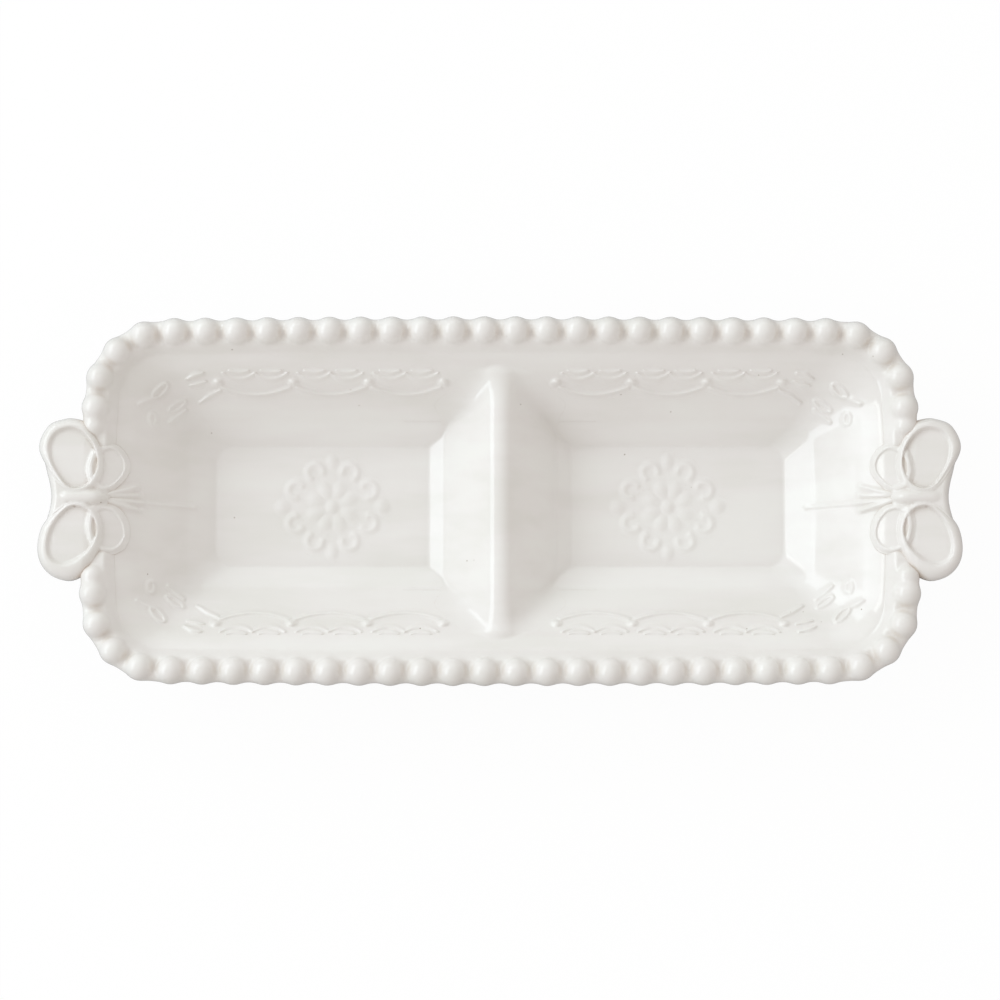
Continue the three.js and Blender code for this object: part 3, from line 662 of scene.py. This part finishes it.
class BeadRow:
    """Row of beads grown together with the cord between them and with the rim under them."""

    def __init__(self, start, beads, end, cord_ends):
        self.places = np.linspace(start, end, round(abs(end - start) / STATION) + 1)
        centre = line.at(self.places)
        away = line.outwards(self.places)
        self.pole = at_height(centre, RIM - POLE_DEPTH)
        self.ways = np.zeros((len(self.places), len(RAYS), 3))
        self.ways[:, :, :2] = -np.cos(RAYS)[None, :, None] * away[:, None, :]
        self.ways[:, :, 2] = np.sin(RAYS)
        bead_at = np.array([place for place, _ in beads])
        self.bead_xy = line.at(bead_at)
        self.bead_r = np.array([radius for _, radius in beads])
        self.nearest = np.argsort(np.abs(self.places[:, None] - bead_at[None, :]), axis=1)[:, :2]
        first, last = sorted(cord_ends)
        self.past = self.places - np.clip(self.places, first, last)
        within = np.minimum(self.places - first, last - self.places)
        self.banked = BANK * ease((within + BANK_END) / BANK_FADE)
        self.shares = np.column_stack([wall_share(*(centre + probe * away).T) for probe in PROBES])

    def beads_depth(self, point, offset):
        """Distance outside the beads and the cord."""
        up = point[:, :, 2] - BEAD_Z
        skin = np.sqrt((offset - CORD_OUT) ** 2 + (up + CORD_DROP) ** 2 + self.past[:, None] ** 2) - CORD
        for near in self.nearest.T:
            flat = point[:, :, :2] - self.bead_xy[near][:, None, :]
            radius = self.bead_r[near][:, None]
            lift = up + (BEAD - radius)
            lift = np.where(lift > 0, lift, lift * ease(offset / FLANGE))
            ball = np.sqrt((flat ** 2).sum(axis=2) + lift ** 2) - radius
            skin = smooth_min(skin, ball, BEAD_BLEND)
        return skin

    def ground(self, offset):
        """Height of the ledge beside the row, banked up to the beads."""
        probe = np.clip((offset - PROBES[0]) / PROBE_STEP, 0, LAST_PROBE)
        before = probe.astype(int)
        share = np.take_along_axis(self.shares, before, axis=1)
        share = share + (probe - before) * (np.take_along_axis(self.shares, before + 1, axis=1) - share)
        ledge = wall_height(share) - LEDGE_RISE * np.clip(offset / FLANGE, 0, 1)
        slope = ease((offset + BANK_START) / BANK_RUN) * (1 - ease(offset / FLANGE))
        return ledge + self.banked[:, None] * slope

    def rim_depth(self, point, offset):
        """Distance outside the rounded rim under the beads."""
        edge = FLANGE - HIDE - FLANGE_DRAFT * (RIM - point[:, :, 2]) / FLANGE_EDGE
        side = offset - edge + FLANGE_ROUND
        top = point[:, :, 2] - self.ground(offset) + HIDE + FLANGE_ROUND
        rim = np.hypot(np.maximum(side, 0), np.maximum(top, 0)) - FLANGE_ROUND
        return rim + np.minimum(np.maximum(side, top), 0)

    def depth(self, reach):
        """Distance outside the row at a reach along each ray."""
        point = self.pole[:, None, :] + reach[:, :, None] * self.ways
        offset = -np.cos(RAYS)[None, :] * reach
        return smooth_min(self.beads_depth(point, offset), self.rim_depth(point, offset), RIM_BLEND)

    def skin(self):
        """Closed skin through the place where each ray leaves the row, found by halving."""
        low, high = (np.full(self.ways.shape[:2], reach) for reach in RAY_RANGE)
        for _ in range(RAY_HALVINGS):
            middle = (low + high) / 2
            inside = self.depth(middle) < 0
            low = np.where(inside, middle, low)
            high = np.where(inside, high, middle)
        skin = self.pole[:, None, :] + low[:, :, None] * self.ways
        return loft(list(np.concatenate([skin, self.pole[:, None, :]], axis=1)))


def side_beads(middle):
    """Row along a long side."""
    half = SIDE_BEADS * BEAD_PITCH
    beads = [(middle + (i + 0.5) * BEAD_PITCH, BEAD) for i in range(-SIDE_BEADS - 1, SIDE_BEADS + 1)]
    return BeadRow(middle - half, beads, middle + half, (middle - 2 * half, middle + 2 * half)).skin()


def corner_beads(middle, forwards):
    """Row round a corner to the handle, with a smaller bead at its end."""
    first = range(SIDE_BEADS - 1, QUARTER_BEADS)
    beads = [(middle + forwards * (i + 0.5) * BEAD_PITCH, BEAD) for i in first]
    last = beads[-1][0] + forwards * LAST_STEP
    beads.append((last, LAST_BEAD))
    start = middle + forwards * SIDE_BEADS * BEAD_PITCH
    return BeadRow(start, beads, last + forwards * BANK_END, (middle, last)).skin()


def line_relief(x, y, path, widths, height):
    """Height of a rounded ridge along a path, with a half width at each of its points."""
    path = np.array(path, float)
    widths = np.broadcast_to(widths, len(path)).astype(float)
    best = np.zeros(np.shape(x))
    for start, end, wide, next_wide in zip(path, path[1:], widths, widths[1:]):
        way = end - start
        along = ((x - start[0]) * way[0] + (y - start[1]) * way[1]) / way.dot(way)
        along = np.clip(along, 0, 1)
        away = np.hypot(x - start[0] - along * way[0], y - start[1] - along * way[1])
        share = away / (wide + (next_wide - wide) * along)
        best = np.maximum(best, height * np.exp(-LINE_FALL * share ** 2))
    return best


def dome_relief(x, y, centre, half_sizes, height, turn=0.0):
    """Height of a low round or oval drop."""
    across = x - centre[0]
    along = y - centre[1]
    u = across * math.cos(turn) + along * math.sin(turn)
    v = along * math.cos(turn) - across * math.sin(turn)
    share = (u / half_sizes[0]) ** 2 + (v / half_sizes[1]) ** 2
    return height * np.exp(-DOME_FALL * share - DOME_EDGE * share ** 2)


def heap(reliefs):
    """Reliefs grown together with soft valleys."""
    return sum(relief ** HEAP_POWER for relief in reliefs) ** (1 / HEAP_POWER)


def arc_path(centre, radius, start, end, steps):
    """Points of an arc from a start angle to an end angle."""
    angles = np.linspace(start, end, steps + 1)
    return np.column_stack([centre[0] + radius * np.cos(angles), centre[1] + radius * np.sin(angles)])


def sag_path(start, end, sag):
    """Line from start to end that hangs down by a sag at its middle."""
    share = np.linspace(0, 1, SAG_STEPS + 1)[:, None]
    points = (1 - share) * np.array(start, float) + share * np.array(end, float)
    points[:, 1] += (4 * sag * share * (1 - share))[:, 0]
    return points


def loop_path(centre):
    """Lobe of the rosette: an arc open towards the middle."""
    start = math.atan2(-centre[1], -centre[0]) + LOOP_OPENING / 2
    return arc_path(centre, LOOP_RADIUS, start, start + 2 * math.pi - LOOP_OPENING, LOOP_STEPS)


def medallion_relief(x, y):
    """Rosette about its own middle: a boss, a scalloped flower, a ring of lobes and a drop at each end."""
    parts = [dome_relief(x, y, (0, 0), BOSS, KNOB_HEIGHT)]
    for i in range(PETALS):
        angle = (i + 0.5) * 2 * math.pi / PETALS
        middle = (PETAL_RING * math.cos(angle), PETAL_RING * math.sin(angle))
        parts.append(dome_relief(x, y, middle, PETAL, ROSETTE, angle))
    for loop_x, loop_y in LOOPS:
        for sign_x, sign_y in CORNER_SIGNS:
            path = loop_path((sign_x * loop_x, sign_y * loop_y))
            parts.append(line_relief(x, y, path, LOOP_WIDTH, LOOP_HEIGHT))
    for sign in (-1, 1):
        parts.append(dome_relief(x, y, (sign * KNOB_REACH, 0), KNOB, KNOB_HEIGHT))
        parts.append(dome_relief(x, y, (0, sign * TIP_REACH), TIP, ROSETTE))
    return heap(parts)


def grid(low, high):
    """Even places from low to high at the step of the relief."""
    return np.linspace(low, high, round((high - low) / RELIEF_STEP) + 1)


def grid_on(side, low, high):
    """Grid of X on the right side, or the same mirrored on the left."""
    return grid(low, high) if side > 0 else grid(-high, -low)


def relief_skin(xs, ys, relief, lift):
    """Patch of the inner skin with relief grown out of it."""
    def top(x, y):
        return basin(x, y) - HIDE + lift * relief(x, y)

    return height_patch(xs, ys, top, lambda x, y: basin(x, y) - RELIEF_UNDER)


def medallion_skin(side):
    xs = grid(side * MEDALLION_X - MEDALLION_REACH[0], side * MEDALLION_X + MEDALLION_REACH[0])
    ys = grid(-MEDALLION_REACH[1], MEDALLION_REACH[1])
    return relief_skin(xs, ys, lambda x, y: medallion_relief(x - side * MEDALLION_X, y), 1)


def swelled(path, ends, swell):
    """Half widths along a path, from its ends to a swell at its middle."""
    return ends + swell * np.sin(np.linspace(0, math.pi, len(path)))


def scallop_strokes(start, end):
    """Strokes between two pearls: a garland, and two crescents of lace with a leaf above each."""
    garland = sag_path((start + ARC_GAP, ARC_DROP), (end - ARC_GAP, ARC_DROP), ARC_SAG)
    strokes = [(garland, ARC_WIDTH, ARC_HEIGHT)]
    middle = (start + end) / 2
    for low, high in [(start + LACE_GAP, middle), (middle, end - LACE_GAP)]:
        lace = sag_path((low, LACE_DROP), (high, LACE_DROP), LACE_SAG)
        strokes.append((lace, swelled(lace, *LACE_WIDTH), LACE_HEIGHT))
        leaf = sag_path((low + LEAF_GAP, LEAF_DROP), (high - LEAF_GAP, LEAF_DROP), LEAF_SAG)
        strokes.append((leaf, swelled(leaf, *LEAF_WIDTH), LEAF_HEIGHT))
    return strokes


def swag_relief(x, drop):
    """Lace garland along a wall, in distance from the divider and drop below the ledge."""
    pearls = [SWAG_START + i * SWAG_PITCH for i in range(SWAG_SCALLOPS + 1)]
    parts = [dome_relief(x, drop, (pearl, PEARL_DROP), PEARL_SIZE, PEARL) for pearl in pearls]
    for start, end in zip(pearls, pearls[1:]):
        parts.extend(line_relief(x, drop, *stroke) for stroke in scallop_strokes(start, end))
    parts.extend(line_relief(x, drop, *stroke) for stroke in SWAG_END)
    return heap(parts)


def swag_skin(side, way):
    ys = np.linspace(way * SWAG_Y[0], way * SWAG_Y[1], SWAG_ROWS)

    def relief(x, y):
        return swag_relief(np.abs(x), (EDGE_Y - np.abs(y)) / math.cos(WALL_ANGLE))

    return relief_skin(grid_on(side, *SWAG_X), ys, relief, WALL_LIFT)


def leaf_path(centre, half_sizes, turn):
    """Closed outline of a small leaf, turned from the X axis."""
    u, v = (arc_path((0, 0), 1, 0, 2 * math.pi, LEAF_STEPS) * half_sizes).T
    x = centre[0] + u * math.cos(turn) - v * math.sin(turn)
    y = centre[1] + u * math.sin(turn) + v * math.cos(turn)
    return np.column_stack([x, y])


def sprig_relief(x, y):
    """Leaf sprig in a corner of the dish, in the quarter where X and Y are positive."""
    strokes = list(SPRIG_STROKES)
    for centre, half_sizes, turn, width, height in SPRIG_LEAVES:
        strokes.append((leaf_path(centre, half_sizes, math.radians(turn)), width, height))
    return heap([line_relief(x, y, *stroke) for stroke in strokes])


def sprig_skin(side, way):
    ys = np.linspace(way * SPRIG_Y[0], way * SPRIG_Y[1], SPRIG_ROWS)
    xs = grid_on(side, *SPRIG_X)
    return relief_skin(xs, ys, lambda x, y: sprig_relief(np.abs(x), np.abs(y)), WALL_LIFT)


def antenna_skin(side, place):
    strokes = ANTENNAE[place]
    reach = np.vstack([path for path, _, _ in strokes])
    low = reach.min(axis=0) - FEELER_MARGIN
    high = reach.max(axis=0) + FEELER_MARGIN
    ys = np.linspace(low[1], high[1], FEELER_ROWS)

    def relief(x, y):
        return heap([line_relief(np.abs(x), y, *stroke) for stroke in strokes])

    return relief_skin(grid_on(side, low[0], high[0]), ys, relief, WALL_LIFT)


def closed_curve(points, count):
    """Smooth closed curve through the points, with a count of even steps."""
    knots = np.array(points, float)
    before, after, far = (np.roll(knots, shift, axis=0) for shift in (1, -1, -2))
    rows = []
    for t in np.linspace(0, 1, SPAN_STEPS, endpoint=False):
        linear = (after - before) * t
        square = (2 * before - 5 * knots + 4 * after - far) * t ** 2
        cube = (3 * knots - before - 3 * after + far) * t ** 3
        rows.append(0.5 * (2 * knots + linear + square + cube))
    dense = np.stack(rows, axis=1).reshape(-1, 2)
    dense = np.vstack([dense, dense[:1]])
    places = np.concatenate([[0], np.cumsum(np.hypot(*np.diff(dense, axis=0).T))])
    even = np.linspace(0, places[-1], count, endpoint=False)
    return np.column_stack([np.interp(even, places, dense[:, i]) for i in range(2)])


def depth_inside(x, y, curve):
    """Distance to a closed curve, positive inside it."""
    nearest = np.full(np.shape(x), np.inf)
    crossings = np.zeros(np.shape(x), int)
    for start, end in zip(curve, np.roll(curve, -1, axis=0)):
        way = end - start
        along = np.clip(((x - start[0]) * way[0] + (y - start[1]) * way[1]) / way.dot(way), 0, 1)
        nearest = np.minimum(nearest, np.hypot(x - start[0] - along * way[0], y - start[1] - along * way[1]))
        spans = (start[1] > y) != (end[1] > y)
        if way[1] != 0:
            crossings += spans & (x < start[0] + way[0] * (y - start[1]) / way[1])
    return np.where(crossings % 2 == 1, nearest, -nearest)


def round_up(share):
    """Quarter round from 0 at the edge to 1 at the crest."""
    t = 1 - np.clip(share, 0, 1)
    return np.sqrt(1 - t * t)


CURVES = {"tab": closed_curve(TAB, TAB_POINTS)}
for place in WINGS:
    for part in ("rim", "recess"):
        CURVES["wing", place, part] = closed_curve(WINGS[place][part], WING_POINTS)
        CURVES["inner", place, part] = closed_curve(INNER_WINGS[place][part], INNER_POINTS)


def tab_height(out, y):
    """Top of the handle's slab, swelled towards its outer edge."""
    inside = depth_inside(out, y, CURVES["tab"])
    swell = TAB_SWELL * ease((out - SWELL_START) / SWELL_RUN)
    top = TAB_EDGE + (TAB_TOP + swell - TAB_EDGE) * round_up(inside / TAB_FLANK)
    return np.where(inside > 0, top, NOWHERE)


def with_wing(skin, out, y, place):
    """Skin with an outer wing on it: a rounded rim about a sunk and tilted middle."""
    rim = depth_inside(out, y, CURVES["wing", place, "rim"])
    recess = depth_inside(out, y, CURVES["wing", place, "recess"])
    across = rim / np.maximum(rim - np.minimum(recess, 0), THINNEST_RIM)
    crest = WING_CREST - WING_FALL * np.maximum(WING_FALL_START - out, 0)
    wing = WING_EDGE + (crest - WING_EDGE) * round_up(across / WING_CREST_SHARE)
    tilted = np.clip(WING_TILT_START - out, 0, WING_TILT_START - WING_FALL_START)
    sunk = WING_RECESS + WING_TILT * tilted
    wing = wing - sunk * ease((across - WING_CREST_SHARE) / (1 - WING_CREST_SHARE))
    ground = skin - WING_SINK * ease((rim - SINK_START) / SINK_RUN)
    return smooth_max(ground, np.where(rim > 0, wing, NOWHERE), HANDLE_BLEND)


def with_loop(skin, out, y, place):
    """Skin with an inner wing on it: a low loop draped from the handle over the ledge."""
    rim = depth_inside(out, y, CURVES["inner", place, "rim"])
    recess = depth_inside(out, y, CURVES["inner", place, "recess"])
    root = INNER_ROOT + INNER_SLOPE * np.minimum(out, 0)
    base = smooth_max(basin(LINE_X + out, y), root, HANDLE_BLEND)
    rise = INNER_RISE * ease((rim + INNER_LAP) / INNER_FLANK)
    sunk = INNER_RECESS * ease((recess + RECESS_LAP) / RECESS_FLANK)
    return smooth_max(skin, np.where(rim > -INNER_LAP, base + rise - sunk, NOWHERE), LENS_BLEND)


def body_height(out, y):
    """Top of the butterfly's body, a spindle that narrows and falls towards both ends."""
    along = (2 * out - sum(BODY_ENDS)) / (BODY_ENDS[0] - BODY_ENDS[1])
    narrow = np.sqrt(1 - BODY_TAPER * np.clip(along ** 2, 0, 1))
    side = ((y - BODY_Y) / (BODY_HALF_WIDTH * narrow)) ** 2
    return BODY_CREST - BODY_SIDE * side - side ** 2 - BODY_DROP * along ** 4


def handle_height(out, y):
    """Top of the handle, with the tab, the wings and the body grown together."""
    skin = smooth_max(basin(LINE_X + out, y), tab_height(out, y), HANDLE_BLEND)
    for place in WINGS:
        skin = with_wing(skin, out, y, place)
    for place in INNER_WINGS:
        skin = with_loop(skin, out, y, place)
    return smooth_max(skin, body_height(out, y), BODY_BLEND)


def pad_skin(side, curve, rows, sides, hide):
    """Closed pad over a star-shaped outline on a handle, with side rings given as inset and height.

    With no side rings the pad ends a little under its top.
    """
    middle = curve.mean(axis=0)
    shares = np.sin(np.linspace(PAD_START, 1, rows) * math.pi / 2)
    places = middle + shares[:, None, None] * (curve - middle)
    tops = handle_height(places[:, :, 0], places[:, :, 1]) - hide
    rings = list(np.concatenate([places, tops[:, :, None]], axis=2))
    inwards = middle - curve
    inwards /= np.linalg.norm(inwards, axis=1, keepdims=True)
    for inset, z in sides:
        rings.append(at_height(curve + inset * inwards, z))
    if not sides:
        rings.append(np.column_stack([curve + inwards, tops[-1] - PAD_DEPTH]))
    rings = [np.column_stack([side * (LINE_X + ring[:, 0]), ring[:, 1:]]) for ring in rings]
    return loft(rings if side < 0 else rings[::-1])


def grown(curve, margin):
    """The curve moved outwards by a margin."""
    way = np.roll(curve, -1, axis=0) - np.roll(curve, 1, axis=0)
    normal = np.column_stack([way[:, 1], -way[:, 0]])
    normal /= np.linalg.norm(normal, axis=1, keepdims=True)
    area = (curve[:, 0] * np.roll(curve[:, 1], -1) - curve[:, 1] * np.roll(curve[:, 0], -1)).sum()
    return curve + margin * math.copysign(1, area) * normal


def slab_sides():
    """Side rings of the tab and the outer wings, down to their rounded lower edge."""
    edge = [(inset, TAB_BOTTOM + z) for inset, z in reversed(rounded_edge(TAB_ROUND))]
    return [(0, TAB_BOTTOM + TAB_ROUND + TAB_SIDE)] + edge


def body_outline():
    """Oval round the butterfly's body, with a skirt."""
    turns = np.linspace(0, 2 * math.pi, OVAL_POINTS, endpoint=False)
    half = (BODY_ENDS[0] - BODY_ENDS[1]) / 2 + SKIRT
    out = sum(BODY_ENDS) / 2 + half * np.cos(turns)
    return np.column_stack([out, BODY_Y + (BODY_HALF_WIDTH + SKIRT) * np.sin(turns)])


def add_handle(side, name, glaze):
    slab = pad_skin(side, CURVES["tab"], TAB_ROWS, slab_sides(), 3 * HIDE)
    add_piece(f"{name}_tab_slab", slab, glaze, f"{name}_handle_tab")
    for place in WINGS:
        wing = pad_skin(side, CURVES["wing", place, "rim"], WING_ROWS, slab_sides(), 0)
        add_piece(f"{name}_{place}_wing_pad", wing, glaze, f"{name}_{place}_wing")
        curve = grown(CURVES["inner", place, "rim"], SKIRT)
        loop = pad_skin(side, curve, INNER_ROWS, [], 2 * HIDE)
        add_piece(f"{name}_{place}_wing_loop", loop, glaze, f"{name}_{place}_inner_wing")
        feeler = antenna_skin(side, place)
        add_piece(f"{name}_{place}_feeler", feeler, glaze, f"{name}_{place}_antenna")
    body = pad_skin(side, body_outline(), BODY_ROWS, [], HIDE)
    add_piece(f"{name}_body_spindle", body, glaze, f"{name}_butterfly_body")


def link(tree, from_node, from_name, to_node, to_name):
    """Link between two sockets, each given by its name or number."""
    tree.links.new(from_node.outputs[from_name], to_node.inputs[to_name])


def add_node(tree, kind, **values):
    """New shader node with values on its inputs, whose names have an underscore for each space."""
    node = tree.nodes.new(f"ShaderNode{kind}")
    for name, value in values.items():
        node.inputs[name.replace("_", " ")].default_value = value
    return node


def add_ramp(tree, stops):
    """Colour ramp through stops of a position and a colour."""
    ramp = add_node(tree, "ValToRGB")
    elements = ramp.color_ramp.elements
    for element, stop in zip(elements, (stops[0], stops[-1])):
        element.position, element.color = stop
    for position, color in stops[1:-1]:
        elements.new(position).color = color
    return ramp


def add_color_mix(tree, blend):
    mix = add_node(tree, "Mix")
    mix.data_type = "RGBA"
    mix.blend_type = blend
    return mix


def glaze_color(tree, place, cloud):
    """Mix of creamy white in strokes, painted warm shade in creases, hollows and near the table (partly
    glaze pooling), and dark pinholes.
    """
    tint = add_ramp(tree, TINT_STOPS)
    # Painted shade: ambient occlusion within 6 mm finds creases, hollows and contact with the table, which
    # are tinted warm brown
    crease = add_node(tree, "AmbientOcclusion", Distance=0.006)
    crease.samples = 8
    pooled_and_shaded = add_ramp(tree, POOL_AND_SHADE_STOPS)
    tint_and_crease_shade = add_color_mix(tree, "MULTIPLY")
    tint_and_crease_shade.inputs[MIX_FACTOR].default_value = 1
    specks = add_node(tree, "TexVoronoi", Scale=85)
    pinhole = add_node(tree, "MapRange", From_Min=0.018, From_Max=0.03, To_Min=1, To_Max=0)
    pitted = add_color_mix(tree, "MIX")
    pitted.inputs[MIX_B].default_value = PINHOLE_COLOR
    link(tree, cloud, "Fac", tint, "Fac")
    link(tree, place, "Object", specks, "Vector")
    link(tree, crease, "AO", pooled_and_shaded, "Fac")
    link(tree, tint, "Color", tint_and_crease_shade, MIX_A)
    link(tree, pooled_and_shaded, "Color", tint_and_crease_shade, MIX_B)
    link(tree, specks, "Distance", pinhole, "Value")
    link(tree, pinhole, "Result", pitted, MIX_FACTOR)
    link(tree, tint_and_crease_shade, MIX_RESULT, pitted, MIX_A)
    return pitted


def glaze_material():
    """White glaze with faint strokes, uneven gloss and a slight wave."""
    material = bpy.data.materials.new("glaze")
    material.use_nodes = True
    tree = material.node_tree
    shader = tree.nodes["Principled BSDF"]
    shader.inputs["IOR"].default_value = 1.5
    place = add_node(tree, "TexCoord")
    strokes = add_node(tree, "Mapping", Scale=(0.35, 1.7, 1))
    cloud = add_node(tree, "TexNoise", Scale=45, Detail=3)
    gloss = add_node(tree, "MapRange", To_Min=0.07, To_Max=0.12)
    wave = add_node(tree, "TexNoise", Scale=110, Detail=2)
    bump = add_node(tree, "Bump", Strength=0.05, Distance=0.001)
    link(tree, place, "Object", strokes, "Vector")
    link(tree, strokes, "Vector", cloud, "Vector")
    link(tree, glaze_color(tree, place, cloud), MIX_RESULT, shader, "Base Color")
    link(tree, cloud, "Fac", gloss, "Value")
    link(tree, gloss, "Result", shader, "Roughness")
    link(tree, place, "Object", wave, "Vector")
    link(tree, wave, "Fac", bump, "Height")
    link(tree, bump, "Normal", shader, "Normal")
    return material


def add_lamp(name, place, size, watts, color):
    """Soft box aimed at the dish."""
    light = bpy.data.lights.new(name, "AREA")
    light.shape = "RECTANGLE"
    light.size, light.size_y = size
    light.energy = watts
    light.color = color
    lamp = bpy.data.objects.new(name, light)
    lamp.location = place
    lamp.rotation_euler = (-lamp.location).to_track_quat("-Z", "Y").to_euler()
    bpy.context.scene.collection.objects.link(lamp)


def light_surroundings():
    """Even warm white light from all round, with a plain white backdrop for the camera."""
    world = bpy.data.worlds.new("studio")
    bpy.context.scene.world = world
    world.use_nodes = True
    tree = world.node_tree
    surroundings = tree.nodes["Background"]
    surroundings.inputs["Color"].default_value = (1, 0.953, 0.921, 1)
    surroundings.inputs["Strength"].default_value = 0.665
    backdrop = add_node(tree, "Background", Color=(1, 1, 1, 1))
    seen = add_node(tree, "LightPath")
    choice = add_node(tree, "MixShader")
    link(tree, seen, "Is Camera Ray", choice, "Fac")
    link(tree, surroundings, "Background", choice, FIRST_SHADER)
    link(tree, backdrop, "Background", choice, SECOND_SHADER)
    link(tree, choice, "Shader", tree.nodes["World Output"], "Surface")


def table_material():
    """White that mostly glows for the camera, and plain grey for the light that reaches the dish."""
    white = bpy.data.materials.new("table_white")
    white.use_nodes = True
    tree = white.node_tree
    tree.nodes.remove(tree.nodes["Principled BSDF"])
    lit = add_node(tree, "BsdfDiffuse", Color=(0.5, 0.5, 0.5, 1))
    glow = add_node(tree, "Emission", Strength=1.06)
    seen = add_node(tree, "LightPath")
    share = add_node(tree, "MapRange", To_Max=0.9)
    mix = add_node(tree, "MixShader")
    link(tree, seen, "Is Camera Ray", share, "Value")
    link(tree, share, "Result", mix, "Fac")
    link(tree, lit, "BSDF", mix, FIRST_SHADER)
    link(tree, glow, "Emission", mix, SECOND_SHADER)
    link(tree, mix, "Shader", tree.nodes["Material Output"], "Surface")
    return white


def add_table():
    mesh = bpy.data.meshes.new("table")
    places = [(TABLE_REACH * sign_x, TABLE_REACH * sign_y, 0) for sign_x, sign_y in CORNER_SIGNS]
    mesh.from_pydata(places, [], [(0, 1, 2, 3)])
    table = bpy.data.objects.new("table", mesh)
    bpy.context.scene.collection.objects.link(table)
    mesh.materials.append(table_material())


def add_camera():
    """Camera that looks down on the dish as in the photo."""
    target = Vector(CAMERA_TARGET)
    camera = bpy.data.cameras.new("camera")
    camera.sensor_width = SENSOR
    camera.lens = SENSOR * CAMERA_DISTANCE / PICTURE_WIDTH
    eye = bpy.data.objects.new("camera", camera)
    way = Vector((0, -math.cos(CAMERA_ELEVATION), math.sin(CAMERA_ELEVATION)))
    eye.location = target + CAMERA_DISTANCE * way
    eye.rotation_euler = (target - eye.location).to_track_quat("-Z", "Y").to_euler()
    bpy.context.scene.collection.objects.link(eye)
    bpy.context.scene.camera = eye


def studio():
    """White table, even surroundings, soft lamps from the left and the back, and the camera."""
    bpy.context.scene.view_settings.view_transform = "Standard"
    light_surroundings()
    add_table()
    for lamp in LAMPS:
        add_lamp(*lamp)
    add_camera()


glaze = glaze_material()
add_piece("dish_shell", shell_skin(), glaze, "dish_body")
add_piece("foot_band", foot_skin(), glaze, "foot_ring")
add_piece("divider_saddle", divider_skin(), glaze, "divider")
add_piece("bead_row_back", side_beads(QUARTER), glaze, "back_beads")
add_piece("bead_row_front", side_beads(3 * QUARTER), glaze, "front_beads")
add_piece("bead_row_left_back", corner_beads(QUARTER, 1), glaze, "left_back_beads")
add_piece("bead_row_right_back", corner_beads(QUARTER, -1), glaze, "right_back_beads")
add_piece("bead_row_left_front", corner_beads(3 * QUARTER, -1), glaze, "left_front_beads")
add_piece("bead_row_right_front", corner_beads(3 * QUARTER, 1), glaze, "right_front_beads")
for side, name in [(-1, "left"), (1, "right")]:
    add_handle(side, name, glaze)
    add_piece(f"{name}_rosette", medallion_skin(side), glaze, f"{name}_medallion")
    for way, place in [(1, "back"), (-1, "front")]:
        add_piece(f"{name}_{place}_lace", swag_skin(side, way), glaze, f"{name}_{place}_swag")
        add_piece(f"{name}_{place}_sprig", sprig_skin(side, way), glaze)
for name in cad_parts:
    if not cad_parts[name].hide_render:
        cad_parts[name].data.materials.clear()
        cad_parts[name].data.materials.append(glaze)
studio()
